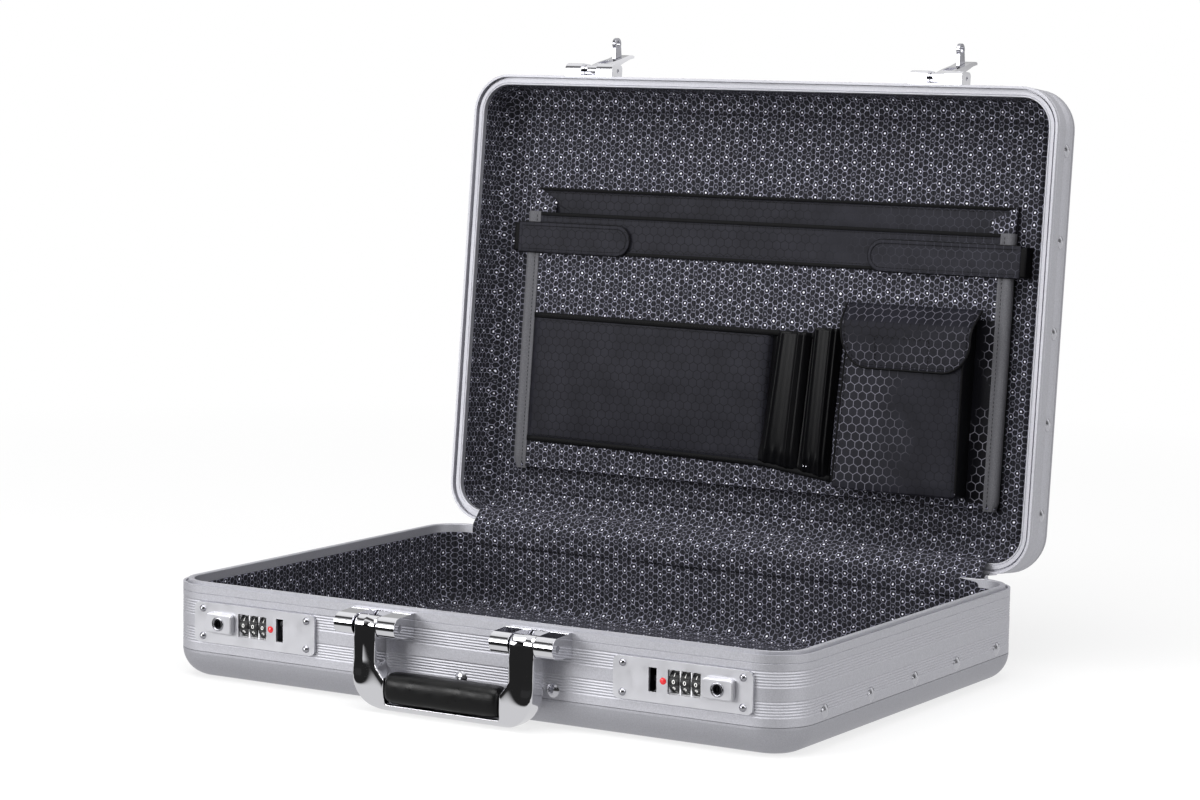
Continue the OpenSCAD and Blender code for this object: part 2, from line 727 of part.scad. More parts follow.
// Moulded housing behind the plate: wheel wells, hook pocket and the catch's channel
module lock_housing() {
    well_r = dial_r + wheel_gap;
    pocket_w2 = slot_w + 1.6;
    foot_x = button_x - stem_w / 2 - 0.4;
    color("#ececee") difference() {
        union() {
            translate([opening_x0 + 0.2, seat, opening_z0 + 0.2])
                cube([opening_x1 - opening_x0 - 0.4, wall_t, opening_h - 0.4]);
            translate([housing_x0, wall_t + seat, housing_low])
                cube([housing_x1 - housing_x0, housing_in - wall_t - seat, housing_h]);
            translate([-lock_out_x - 3.5, wall_t + seat, housing_low])
                cube([2 * lock_out_x + 7, sheet_t, housing_h]);
        }
        for (i = [-1 : 1]) translate([dial_x + i * dial_pitch, 0, slot_dz]) {
            across(dial_w + 2 * wheel_gap) {
                translate([dial_in, 0]) circle(well_r, $fn = round_fn);
                translate([-1, -well_r]) square([dial_in + 1, 2 * well_r]);
            }
        }
        translate([dial_x - shaft_half - seat, dial_in, slot_dz]) rotate([0, 90, 0])
            cylinder(h = 2 * (shaft_half + seat), r = shaft_r + turn_gap, $fn = small_fn);
        translate([slot_x - pocket_w2 / 2, -1, slot_dz - slot_h / 2 - 0.2])
            cube([pocket_w2, 12, slot_h + 0.4]);
        translate([slot_x - 3, catch_y - 0.3, catch_bar_z - 0.2])
            cube([catch_arm_x + catch_arm_w + button_travel + 0.4 - slot_x + 3,
                  catch_t + 0.6, 14]);
        translate([slot_x, catch_y - 0.3, catch_bar_z - 0.2])
            cube([button_x - slot_x + stem_w / 2 + button_travel + 0.4, catch_t + 0.6,
                  catch_bar_h + 0.5]);
        translate([foot_x, -1, catch_bar_z - 0.2])
            cube([stem_w + button_travel + 0.8, catch_y + catch_t + 1.3, 15.2]);
        at_plate_rivets() translate([0, 1, 0]) rivet_bore(lock_shank_r, 5);
    }
}

// A number wheel with finger notches between its ten places
module dial(place) {
    color("#1a1a1c") translate([dial_x + place * dial_pitch, dial_in, slot_dz])
        across(dial_w) difference() {
            circle(dial_r, $fn = round_fn);
            circle(shaft_r + turn_gap, $fn = small_fn);
            for (i = [0 : 9]) rotate(36 * (i + 0.5)) translate([dial_r + 0.3, 0])
                circle(0.7, $fn = 16);
        }
}
module dial_shaft() {
    color("#a8a8ae") translate([dial_x - shaft_half, dial_in, slot_dz]) rotate([0, 90, 0])
        cylinder(h = 2 * shaft_half, r = shaft_r, $fn = small_fn);
}
module button() {
    color("#cfcfd6") difference() {
        union() {
            translate([button_x, 0, slot_dz]) {
                facing(-plate_t - button_t, button_t - 0.9)
                    rounded(button_w - 1, button_h - 1, 1.5);
                facing(-plate_t - button_t + 0.6, button_t - 0.9) rounded(button_w, button_h, 2);
            }
            translate([button_x - stem_w / 2, -plate_t - 1, slot_dz - 4])
                cube([stem_w, plate_t + 1 + catch_y, 8]);
        }
        translate([button_x, -plate_t - button_t - 1, slot_dz]) rotate([-90, 0, 0])
            cylinder(h = button_t + 3, r = key_r + turn_gap, $fn = small_fn);
    }
}
module key_plug() {
    color("#3a3a3e") translate([button_x, -plate_t - button_t, slot_dz]) rotate([-90, 0, 0])
        difference() {
            translate([0, 0, 0.2]) cylinder(h = button_t + 1.6, r = key_r, $fn = small_fn);
            translate([0, 0, -eps]) cylinder(h = 1.6, r = key_r - 0.7, $fn = small_fn);
            translate([-0.45, -key_r + 0.9, 0]) cube([0.9, 2 * key_r - 1.8, 4]);
        }
}

// The catch: a steel bar under the wheels, up to the nose that holds the hook's eye
module catch() {
    nose_x = slot_x - hook_t / 2 - 1;
    nose = eye_r * 1.2;
    color("#8f8f96") {
        translate([catch_arm_x, catch_y, catch_bar_z])
            cube([catch_arm_w, catch_t, nose_z + nose / 2 - catch_bar_z]);
        translate([catch_arm_x, catch_y, catch_bar_z])
            cube([button_x + stem_w / 2 - catch_arm_x, catch_t, catch_bar_h]);
        translate([button_x - stem_w / 2, catch_y, catch_bar_z])
            cube([stem_w, catch_t, slot_dz + 4 - catch_bar_z]);
        translate([nose_x, nose_y - nose / 2, nose_z - nose / 2])
            cube([catch_arm_x - nose_x + eps, nose, nose]);
    }
}
module left_lock_plate() { at_lock(-1) lock_plate(); }
module right_lock_plate() { at_lock(1) lock_plate(); }
module left_lock_housing() { at_lock(-1) lock_housing(); }
module right_lock_housing() { at_lock(1) lock_housing(); }
module left_dial_shaft() { at_lock(-1) dial_shaft(); }
module right_dial_shaft() { at_lock(1) dial_shaft(); }
module left_button() { at_lock(-1) button(); }
module right_button() { at_lock(1) button(); }
module left_key_plug() { at_lock(-1) key_plug(); }
module right_key_plug() { at_lock(1) key_plug(); }
module left_catch() { at_lock(-1) catch(); }
module right_catch() { at_lock(1) catch(); }

module lock_rivets() {
    color("#d8d8de") for (side = [-1, 1]) at_lock(side) at_plate_rivets()
        translate([0, -plate_t, 0])
            rivet(lock_rivet_r, lock_rivet_h, lock_shank_r, plate_t + flange_in);
}
module lock_indicators() {
    color("#c8202c") for (side = [-1, 1]) at_lock(side)
        translate([dot_x, -plate_t, slot_dz]) rivet(dot_r, 0.8, dot_r, plate_t - seat);
}

// Hasps, drawn on the closed lid's front wall: z along the wall from the rim

hasp_shank_r = 1.4;
hasp_rivet_x = hasp_w / 2 - 6;
module at_hasp(side) {
    translate([side * hasp_x, front_y, base_h + hasp_n]) children();
}
module at_hasp_rivets() {
    for (sx = [-1, 1]) translate([sx * hasp_rivet_x, 0, hasp_len - 4]) children();
}
module at_lever(side) {
    open_lid() at_hasp(side) translate([0, -lever_out, lever_up]) rotate([-lever_open, 0, 0])
        children();
}

// Two rounded ears on a base plate, with a low stop behind the lever
module hasp_bracket(side) {
    top = lever_out + 4.5;
    gap = lever_w + 0.6;
    floor_t = lever_out - barrel_r - 0.4;
    stop_h = lever_out - 2.4;
    color("#cfcfd6") open_lid() at_hasp(side) difference() {
        union() across(hasp_w) {
            translate([-lever_out, 5]) circle(4.5, $fn = round_fn);
            translate([-top + 3, hasp_len - 3]) circle(3, $fn = small_fn);
            translate([-top, 5]) square([top, hasp_len - 8]);
            translate([-lever_out, 0.5]) square([lever_out, hasp_len - 0.5]);
            translate([-top + 3, hasp_len - 3.5]) square([top - 3, 3.5]);
        }
        translate([-gap / 2, -top - 1, -1]) cube([gap, top + 1 - floor_t, hasp_len - 0.6]);
        translate([-gap / 2, -top - 1, -1]) cube([gap, top + 1 - stop_h, hasp_len + 2]);
        translate([-hasp_w, -lever_out, lever_up]) rotate([0, 90, 0])
            cylinder(h = 2 * hasp_w, r = hasp_pin_r + turn_gap, $fn = small_fn);
        at_hasp_rivets() translate([0, -3.3, 0]) rivet_bore(hasp_shank_r, 4);
    }
}
module left_hasp_bracket() { hasp_bracket(-1); }
module right_hasp_bracket() { hasp_bracket(1); }

// The cast lever, seen closed: barrel, dished stem and the finger end
module hasp_lever(side) {
    color("#d9d9de") at_lever(side) difference() {
        union() {
            across(lever_w) circle(barrel_r, $fn = round_fn);
            across(lever_w - 1) polygon([[-3.6, 1], [-3.4, -20], [-2.8, -40], [-3.6, -lever_len],
                [-2.4, -lever_len - 0.6], [-1.2, -lever_len + 1], [0.3, -40], [0.8, -28],
                [2.2, -14], [2.6, 0]]);
        }
        translate([-(lever_w - 5) / 2, -0.6, -21]) cube([lever_w - 5, 4, 10]);
        translate([-lever_w, 0, 0]) rotate([0, 90, 0])
            cylinder(h = 2 * lever_w, r = hasp_pin_r + turn_gap, $fn = small_fn);
    }
}
module left_hasp_lever() { hasp_lever(-1); }
module right_hasp_lever() { hasp_lever(1); }

// The steel hook on the lever's inner face, with the eye that the catch goes through
module hasp_hook(side) {
    root = 0.8 + seat;
    color("#b9b9c0") at_lever(side) difference() {
        union() {
            across(hook_t) polygon([[root, -hook_u + 6.4], [hook_v - 1, -hook_u + 3.6],
                [hook_v - 1, -hook_u - 3.6], [root - 0.4, -hook_u - 2.4]]);
            translate([-hook_t / 2, hook_v, -hook_u]) rotate([0, 90, 0])
                cylinder(h = hook_t, r = hook_tip_r, $fn = small_fn);
        }
        translate([-hook_t, hook_v, -hook_u]) rotate([0, 90, 0])
            cylinder(h = 2 * hook_t, r = eye_r, $fn = small_fn);
    }
}
module left_hasp_hook() { hasp_hook(-1); }
module right_hasp_hook() { hasp_hook(1); }

module hasp_pin(side) {
    color("#a8a8ae") open_lid() at_hasp(side)
        translate([-hasp_w / 2 + 0.3, -lever_out, lever_up]) rotate([0, 90, 0])
            cylinder(h = hasp_w - 0.6, r = hasp_pin_r, $fn = small_fn);
}
module left_hasp_pin() { hasp_pin(-1); }
module right_hasp_pin() { hasp_pin(1); }

module hasp_rivets() {
    color("#a8a8ae") open_lid() for (side = [-1, 1]) at_hasp(side) at_hasp_rivets()
        rotate([90, 0, 0]) translate([0, 0, -wall_t]) {
            translate([0, 0, -1.3]) cylinder(h = 1.3, r = 2.8, $fn = small_fn);
            cylinder(h = wall_t + 2.9, r = hasp_shank_r, $fn = small_fn);
        }
}

// Organiser, drawn on the closed lid: an outline (x, s) with s measured from the rear
// wall, lifted to the depth n behind the rim and given the thickness t

module on_panel(n, t) {
    open_lid() translate([0, rear_y, base_h + n]) mirror([0, 1, 0]) linear_extrude(t) children();
}
module board(x0, x1, s0, s1) {
    translate([x0, s0]) square([x1 - x0, s1 - s0]);
}
module organiser_back() {
    color("#202023") {
        on_panel(back_n, hide_t) board(-panel_half, panel_half, panel_low, back_top);
        for (side = [-1, 1]) on_panel(back_n - paper_gap + seat, paper_gap - seat)
            board(side * panel_half - (side > 0 ? hide_t : 0),
                  side * panel_half + (side < 0 ? hide_t : 0), panel_low, panel_top);
        on_panel(back_n - paper_gap + seat, paper_gap - seat)
            board(-panel_half, panel_half, panel_low, panel_low + hide_t);
    }
}
module organiser_front() {
    color("#34343b") on_panel(front_n, panel_t)
        board(-panel_half, panel_half, panel_low, panel_top);
}
module organiser_band() {
    color("#202023") on_panel(band_n, 0.8)
        board(-panel_half + binding_w, panel_half - binding_w, panel_top - band_w, panel_top);
}
module organiser_bindings() {
    color("#58585c") for (side = [-1, 1]) {
        inner = side * (panel_half - binding_w + seat);
        outer = side * (panel_half + 1.2);
        on_panel(band_n, 0.8)
            board(min(inner, outer), max(inner, outer), panel_low - 1, panel_top + 1);
        on_panel(band_n, panel_t + 0.8)
            board(min(side * (panel_half + seat), outer), max(side * (panel_half + seat), outer),
                  panel_low - 1, panel_top + 1);
    }
}

// Closure straps over the band: sewn to an anchor beside the panel, round at the end
strap_s = panel_top - 28.5;
strap_root = panel_half + 7.5;
module strap_anchors() {
    color("#141416") for (side = [-1, 1])
        on_panel(strap_n, lining_n - strap_n - 0.2)
            board(min(side * strap_root, side * (strap_root + 4)),
                  max(side * strap_root, side * (strap_root + 4)), strap_s, strap_s + strap_w);
}
module strap(side, length) {
    r = strap_w / 2;
    root = strap_root - 0.3;
    color("#202023") on_panel(strap_n, 1.8) mirror([side < 0 ? 1 : 0, 0]) {
        board(root - length + r, root, strap_s, strap_s + strap_w);
        translate([root - length + r, strap_s + r]) circle(r, $fn = small_fn);
    }
}
module left_strap() { strap(-1, left_strap_len); }
module right_strap() { strap(1, right_strap_len); }

// A long open-topped pocket on the front panel
module long_pocket() {
    x0 = -panel_half + binding_w + 0.3;
    x1 = sleeve_x - 0.7;
    n0 = front_n - pocket_gap - hide_t;
    top = pocket_low + pocket_h;
    color("#202023") {
        on_panel(n0, hide_t) board(x0, x1, pocket_low, top);
        on_panel(n0, pocket_gap + hide_t - seat) {
            board(x0, x0 + hide_t, pocket_low, top);
            board(x1 - hide_t, x1, pocket_low, top);
            board(x0, x1, pocket_low, pocket_low + hide_t);
        }
    }
}

// Two half-round sleeves for pens, open at the top
module pen_sleeves() {
    low = pouch_low + 3;
    top = pocket_low + pocket_h;
    half = sleeve_w / 2;
    r = (half * half + sleeve_out * sleeve_out) / (2 * sleeve_out);
    color("#161618") open_lid() for (i = [0, 1])
        translate([sleeve_x + half + i * (sleeve_w + sleeve_gap), rear_y - low, base_h + front_n - seat])
            rotate([90, 0, 0]) {
                linear_extrude(top - low) sleeve_outline(r, hide_t);
                linear_extrude(hide_t) sleeve_outline(r, r);
            }
}
// The part of a ring of the wall t that stands out of the panel
module sleeve_outline(r, t) {
    sink = r - sleeve_out;
    intersection() {
        translate([0, sink]) difference() {
            circle(r, $fn = round_fn);
            circle(max(r - t, eps), $fn = round_fn);
        }
        translate([-r - 1, -2 * r]) square([2 * r + 2, 2 * r]);
    }
}

// Phone pouch: an open-topped box with rounded edges, and its flap
module phone_pouch() {
    inner_w = pouch_w - 2 * hide_t;
    middle = pouch_x + pouch_w / 2;
    color("#202023") {
        on_panel(pouch_n, pouch_t - seat) difference() {
            translate([middle, pouch_low + pouch_h / 2]) rounded(pouch_w, pouch_h, 4);
            translate([middle, pouch_low + hide_t + pouch_h / 2]) rounded(inner_w, pouch_h, 3);
            board(pouch_x - 1, pouch_x + pouch_w + 1, pouch_top - 4, pouch_top + 1);
        }
        on_panel(pouch_n, hide_t) difference() {
            translate([middle, pouch_low + pouch_h / 2]) rounded(pouch_w, pouch_h, 4);
            board(pouch_x - 1, pouch_x + pouch_w + 1, pouch_top - 4, pouch_top + 1);
        }
    }
}
module pouch_flap() {
    over_n = pouch_n - 0.4 - hide_t;
    middle = pouch_x + pouch_w / 2;
    wide = pouch_w + 2;
    top_s = pouch_top + 0.5;
    corner = 18;
    color("#202023") {
        on_panel(over_n, pouch_t + hide_t + 0.1)
            board(pouch_x - 1, pouch_x + pouch_w + 1, top_s, top_s + hide_t);
        on_panel(over_n, hide_t) {
            board(middle - wide / 2, middle + wide / 2, top_s - flap_h + corner, top_s + hide_t);
            board(middle - wide / 2 + corner, middle + wide / 2 - corner, top_s - flap_h,
                  top_s - flap_h + corner + eps);
            for (sx = [-1, 1])
                translate([middle + sx * (wide / 2 - corner), top_s - flap_h + corner])
                    circle(corner, $fn = round_fn);
        }
    }
}

base_frame();
base_tray();
base_lining();
base_rivets();
lid_frame();
lid_tray();
lid_lining();
lid_rivets();
base_hinge_leaf();
lid_hinge_leaf();
hinge_pin();
hinge_cover();
left_handle_bracket();
right_handle_bracket();
handle_frame();
handle_grip();
handle_pins();
handle_screws();
left_lock_plate();
left_lock_housing();
at_lock(-1) dial(-1);  // left_dial_1
at_lock(-1) dial(0);  // left_dial_2
at_lock(-1) dial(1);  // left_dial_3
left_dial_shaft();
left_button();
left_key_plug();
left_catch();
right_lock_plate();
right_lock_housing();
at_lock(1) dial(-1);  // right_dial_1
at_lock(1) dial(0);  // right_dial_2
at_lock(1) dial(1);  // right_dial_3
right_dial_shaft();
right_button();
right_key_plug();
right_catch();
lock_rivets();
lock_indicators();
left_hasp_bracket();
left_hasp_lever();
left_hasp_hook();
left_hasp_pin();
right_hasp_bracket();
right_hasp_lever();
right_hasp_hook();
right_hasp_pin();
hasp_rivets();
organiser_back();
organiser_front();
organiser_band();
organiser_bindings();
strap_anchors();
left_strap();
right_strap();
long_pocket();
pen_sleeves();
phone_pouch();
pouch_flap();
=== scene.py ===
import math

import bmesh
import bpy
from mathutils import Matrix, Vector, noise


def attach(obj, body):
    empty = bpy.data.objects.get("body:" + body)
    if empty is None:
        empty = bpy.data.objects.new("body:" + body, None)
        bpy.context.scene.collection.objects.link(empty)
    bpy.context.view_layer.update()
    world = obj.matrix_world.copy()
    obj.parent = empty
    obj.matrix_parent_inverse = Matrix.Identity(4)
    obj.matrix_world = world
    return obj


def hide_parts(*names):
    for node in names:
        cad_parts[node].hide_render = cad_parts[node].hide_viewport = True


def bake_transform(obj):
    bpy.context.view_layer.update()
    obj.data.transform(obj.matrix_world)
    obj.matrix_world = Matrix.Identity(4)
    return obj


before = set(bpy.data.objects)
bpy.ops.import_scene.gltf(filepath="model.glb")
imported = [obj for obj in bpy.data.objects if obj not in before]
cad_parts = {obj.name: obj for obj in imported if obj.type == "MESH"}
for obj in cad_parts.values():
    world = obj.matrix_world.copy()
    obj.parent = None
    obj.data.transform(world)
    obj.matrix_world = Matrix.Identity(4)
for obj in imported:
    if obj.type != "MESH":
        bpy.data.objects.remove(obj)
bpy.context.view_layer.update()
mm = 0.001


# --- Side frames ----------------------------------------------------------------------
# Each half of the case has a side frame bent from one aluminium extrusion, with two
# ribbed bands, a thick head along the rim and a clear anodised finish. The halves
# come from the CAD model, and their finish is added here.


def linear(colour):
    """Turns an sRGB hex colour into the linear values that a shader takes."""
    parts = [int(colour[i : i + 2], 16) / 255 for i in (1, 3, 5)]
    return [p / 12.92 if p <= 0.04045 else ((p + 0.055) / 1.055) ** 2.4 for p in parts] + [1]


def finish(name, colour, **sockets):
    """Starts a material of one colour, with values for the shader's own sockets."""
    made = bpy.data.materials.new(name)
    made.use_nodes = True
    shader = made.node_tree.nodes["Principled BSDF"]
    shader.inputs["Base Color"].default_value = linear(colour)
    for key, value in sockets.items():
        shader.inputs[key.replace("_", " ")].default_value = value
    return made


def node(material, kind, inputs=(), **settings):
    """Adds one node with its settings, and gives each input a value or a link."""
    made = material.node_tree.nodes.new("ShaderNode" + kind)
    for key, value in settings.items():
        setattr(made, key, value)
    for key, value in dict(inputs).items():
        if isinstance(value, bpy.types.Node):
            value = value.outputs[0]
        if isinstance(value, bpy.types.NodeSocket):
            material.node_tree.links.new(value, made.inputs[key])
        else:
            made.inputs[key].default_value = value
    return made


def give(material, **sockets):
    """Links nodes to the sockets of a material's shader."""
    shader = material.node_tree.nodes["Principled BSDF"]
    for key, value in sockets.items():
        output = value.outputs[0] if isinstance(value, bpy.types.Node) else value
        material.node_tree.links.new(output, shader.inputs[key.replace("_", " ")])


def paint(names, material):
    """Gives CAD pieces a finish."""
    for name in names:
        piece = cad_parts[name]
        piece.data.materials.clear()
        piece.data.materials.append(material)


OPEN_ANGLE = math.radians(95.5)


def anodised(name, colour, tilt=0):
    """Clear anodised aluminium. The eye sees a soft satin grey with a faint grain."""
    made = finish(name, colour, Metallic=1, Roughness=0.62)
    place = node(made, "TexCoord").outputs["Object"]
    turned = node(made, "Mapping", {"Vector": place, "Rotation": (tilt, 0, 0)})
    # the blasted grain is 0.1 mm wide and is drawn about 0.7 mm wide, so that it shows
    grain = node(made, "TexNoise", {"Vector": turned, "Scale": 1.5 / mm, "Detail": 3})
    cloud = node(made, "TexNoise", {"Vector": place, "Scale": 9, "Detail": 2})
    rough = node(made, "MapRange", {"Value": cloud, 1: 0.3, 2: 0.7, 3: 0.58, 4: 0.66})
    tone = node(made, "MapRange", {"Value": grain, 1: 0.35, 2: 0.65, 3: 0.92, 4: 1.06})
    tinted = node(made, "MixRGB", {0: 1, 1: linear(colour), 2: tone}, blend_type="MULTIPLY")
    relief = node(made, "Bump", {"Height": grain, "Strength": 0.02, "Distance": 0.1 * mm})
    give(made, Base_Color=tinted, Roughness=rough, Normal=relief)
    return made


base_metal = anodised("anodised_extrusion", "#C2C2C8")
lid_metal = anodised("anodised_extrusion_lid", "#C2C2C8", OPEN_ANGLE)
paint(["base_frame"], base_metal)
paint(["lid_frame"], lid_metal)


# --- Pressed trays --------------------------------------------------------------------
# The floor of the base and the back of the lid are pressed from aluminium sheet with
# a rolled edge. They are blasted and anodised, so they have no direction of grain.

sheet_metal = anodised("anodised_pressed_sheet", "#B2B2B8")
paint(["base_tray", "lid_tray"], sheet_metal)


# --- Rivets, hinge and pins -----------------------------------------------------------
# Domed aluminium rivets join frame and tray. The piano hinge is steel, plated dull,
# and the pins and shafts are plain turned steel.


def bare_metal(name, colour, roughness, spots):
    """Turned or tumbled metal: even, with small changes of gloss from handling."""
    made = finish(name, colour, Metallic=1, Roughness=roughness)
    place = node(made, "TexCoord").outputs["Object"]
    smudge = node(made, "TexNoise", {"Vector": place, "Scale": spots, "Detail": 4})
    rough = node(
        made,
        "MapRange",
        {"Value": smudge, 1: 0.3, 2: 0.7, 3: roughness * 0.88, 4: roughness * 1.12},
    )
    relief = node(made, "Bump", {"Height": smudge, "Strength": 0.015, "Distance": 0.1 * mm})
    give(made, Roughness=rough, Normal=relief)
    return made


rivet_metal = bare_metal("satin_aluminium_rivets", "#C2C2C8", 0.25, 300)
steel = bare_metal("turned_steel", "#A6A6AC", 0.3, 500)
hinge_steel = bare_metal("dull_plated_steel", "#B4B4BB", 0.34, 200)
paint(["base_rivets", "lid_rivets"], rivet_metal)
paint(["base_hinge_leaf", "lid_hinge_leaf", "hinge_pin"], hinge_steel)


# --- Lining of the base ---------------------------------------------------------------
# Thin foam board covered with a woven polyester that is printed with small cells and
# light dots. It is folded to a tub and glued in, with a box over each lock.


def piece_from(bm, name, material, angle=35):
    """Makes an object from a mesh, smooth but for edges sharper than the angle."""
    mesh = bpy.data.meshes.new(name)
    bm.to_mesh(mesh)
    bm.free()
    mesh.shade_smooth()
    mesh.set_sharp_from_angle(angle=math.radians(angle))
    mesh.materials.append(material)
    made = bpy.data.objects.new(name, mesh)
    bpy.context.collection.objects.link(made)
    return made


def lay_cloth(bm):
    """Gives each face cloth coordinates in metres, seen from the side it looks to."""
    layer = bm.loops.layers.uv.verify()
    bm.normal_update()
    for face in bm.faces:
        away = max(range(3), key=lambda axis: abs(face.normal[axis]))
        for loop in face.loops:
            loop[layer].uv = [loop.vert.co[axis] for axis in range(3) if axis != away]


def round_off(bm, parts, width, segments, affect="EDGES"):
    """Rounds edges or corners over, by a width in metres."""
    bmesh.ops.bevel(
        bm, geom=parts, offset=width, segments=segments, profile=0.5, affect=affect, material=-1
    )


def cut(bm, place, across):
    """Cuts new edges along a plane through a place in millimetres."""
    parts = bm.verts[:] + bm.edges[:] + bm.faces[:]
    bmesh.ops.bisect_plane(bm, geom=parts, plane_co=Vector(place) * mm, plane_no=across)


def thicken(made, thickness, offset=-1):
    """Gives a sheet its thickness in millimetres, behind the face that was drawn."""
    wall = made.modifiers.new("thickness", "SOLIDIFY")
    wall.thickness, wall.offset = thickness * mm, offset


CASE_W, CASE_D, CORNER = 450 * mm, 318 * mm, 27 * mm
LINING_IN = 7 * mm  # the lining's inner face, measured from the outside of the wall


def tub(wall, cove=11 * mm):
    """A lining seen from inside: walls down from the rim, a rounded corner, a floor."""
    bm = bmesh.new()
    corners = bmesh.ops.create_grid(bm, x_segments=1, y_segments=1, size=0.5)["verts"]
    bmesh.ops.scale(
        bm, vec=(CASE_W - 2 * LINING_IN, CASE_D - 2 * LINING_IN, 1), verts=corners
    )
    round_off(bm, corners, CORNER - LINING_IN, 10, "VERTICES")
    floor = bm.faces[:][0]

    def step(inward, up):
        bmesh.ops.inset_region(
            bm, faces=[floor], thickness=max(inward, 1e-6), depth=up, use_even_offset=True,
            use_boundary=True,
        )

    straight = wall - cove
    for share in (0.04, 0.3, 0.33, 0.33):
        step(0, -straight * share)
    turns = 9
    for i in range(turns):
        a, b = (math.pi / 2 * k / turns for k in (i, i + 1))
        step(cove * (math.cos(a) - math.cos(b)), -cove * (math.sin(b) - math.sin(a)))
    # a crease where the cloth is tucked in round the board of the floor
    for inward, up in ((2.2, 0), (1.2, -0.9), (1.2, 0.9)):
        step(inward * mm, up * mm)
    return bm


def hexagons(material, place, pitch, upright=True, offset=(0, 0)):
    """The ways from the centres of two crossed grids, which make a honeycomb together."""
    half = [pitch / 2, pitch / 2 * math.sqrt(3)]
    half = (half if upright else half[::-1]) + [1]
    ways = []
    for share in (0, 1):
        shift = (offset[0] + share * half[0], offset[1] + share * half[1], 0)
        moved = node(material, "VectorMath", {0: place, 1: shift}, operation="ADD")
        limits = {0: moved, 1: half, 2: [-h for h in half]}
        ways.append(node(material, "VectorMath", limits, operation="WRAP"))
    return ways


def least(material, values):
    """The smallest of some values."""
    found = values[0]
    for value in values[1:]:
        found = node(material, "Math", {0: found, 1: value}, operation="MINIMUM")
    return found


def to_centre(material, ways):
    """The distance to the nearest centre of a honeycomb."""
    return least(material, [
        node(material, "VectorMath", {0: way}, operation="LENGTH").outputs["Value"]
        for way in ways
    ])


def to_rim(material, place, pitch, upright=True):
    """How far out in its cell of a honeycomb a point lies: half the pitch is the rim."""
    found = []
    for way in hexagons(material, place, pitch, upright):
        size = node(material, "VectorMath", {0: way}, operation="ABSOLUTE")
        lean = (0.5, 0.5 * math.sqrt(3), 0) if upright else (0.5 * math.sqrt(3), 0.5, 0)
        slope = node(
            material, "VectorMath", {0: size, 1: lean}, operation="DOT_PRODUCT"
        ).outputs["Value"]
        side = node(material, "SeparateXYZ", {0: size}).outputs["X" if upright else "Y"]
        found.append(node(material, "Math", {0: slope, 1: side}, operation="MAXIMUM"))
    return least(material, found)


def printed_cloth(name, ground, line, dots):
    """Woven polyester with a print: the eye sees rings of small light cells and white dots."""
    made = finish(name, ground, Roughness=0.8, Specular_IOR_Level=0.2)
    flat = node(made, "TexCoord").outputs["UV"]
    # the cloth is laid by hand, so the print wanders by about half a millimetre
    wander = node(made, "TexNoise", {"Vector": flat, "Scale": 170, "Detail": 1})
    drawn = node(
        made, "VectorMath", {0: wander.outputs["Color"], 1: (0.5, 0.5, 0.5)}, operation="SUBTRACT"
    )
    pulled = node(
        made, "VectorMath", {0: drawn, 1: (2.6 * mm, 2.6 * mm, 0)}, operation="MULTIPLY"
    )
    place = node(made, "VectorMath", {0: flat, 1: pulled}, operation="ADD")
    # small cells 4.1 mm apart, in rings that repeat every 14.2 mm
    small = 4.1 * mm
    ring = small * math.sqrt(12)
    cell = to_rim(made, place, small, upright=False)
    web = node(made, "MapRange", {"Value": cell, 1: 0.415 * small, 2: 0.475 * small, 3: 0, 4: 1})
    hearts = to_centre(made, hexagons(made, place, ring))
    corners = to_centre(
        made,
        hexagons(made, place, ring, offset=(0, 2 * small))
        + hexagons(made, place, ring, offset=(0, -2 * small)),
    )
    ink = node(made, "MapRange", {"Value": corners, 1: 0.5 * mm, 2: 5.5 * mm, 3: 1, 4: 0.42})
    patch = node(made, "TexNoise", {"Vector": flat, "Scale": 420, "Detail": 2})
    worn = node(made, "MapRange", {"Value": patch, 1: 0.35, 2: 0.62, 3: 0.4, 4: 1.15})
    strength = node(made, "Math", {0: ink, 1: worn}, operation="MULTIPLY")
    inked = node(made, "Math", {0: web, 1: strength}, operation="MULTIPLY", use_clamp=True)
    core = node(made, "MapRange", {"Value": hearts, 1: 0.55 * mm, 2: 0.8 * mm, 3: 0.35, 4: 0})
    inked = node(made, "Math", {0: inked, 1: core}, operation="MAXIMUM")
    dot = node(made, "MapRange", {"Value": corners, 1: 0.45 * mm, 2: 0.72 * mm, 3: 1, 4: 0})
    weave = node(
        made, "TexWave", {"Vector": flat, "Scale": 1 / (6 * mm), "Distortion": 1.5},
        wave_type="BANDS", bands_direction="X",
    )
    cloth = node(made, "MixRGB", {0: weave, 1: linear(ground), 2: linear("#202027")})
    with_lines = node(made, "MixRGB", {0: inked, 1: cloth, 2: linear(line)})
    with_dots = node(made, "MixRGB", {0: dot, 1: with_lines, 2: linear(dots)})
    relief = node(made, "Bump", {"Height": weave, "Strength": 0.15, "Distance": 0.1 * mm})
    give(made, Base_Color=with_dots, Normal=relief)
    return made


print_cloth = printed_cloth("printed_polyester", "#101014", "#9E9EB0", "#F2F2FF")
WINDOW_X, WINDOW_Z = (112, 192), (9, 53)  # from and to
SIDES = ((-1, "left"), (1, "right"))

bm = tub(51.3 * mm)
bmesh.ops.translate(bm, vec=(0, 0, 55.8 * mm), verts=bm.verts)
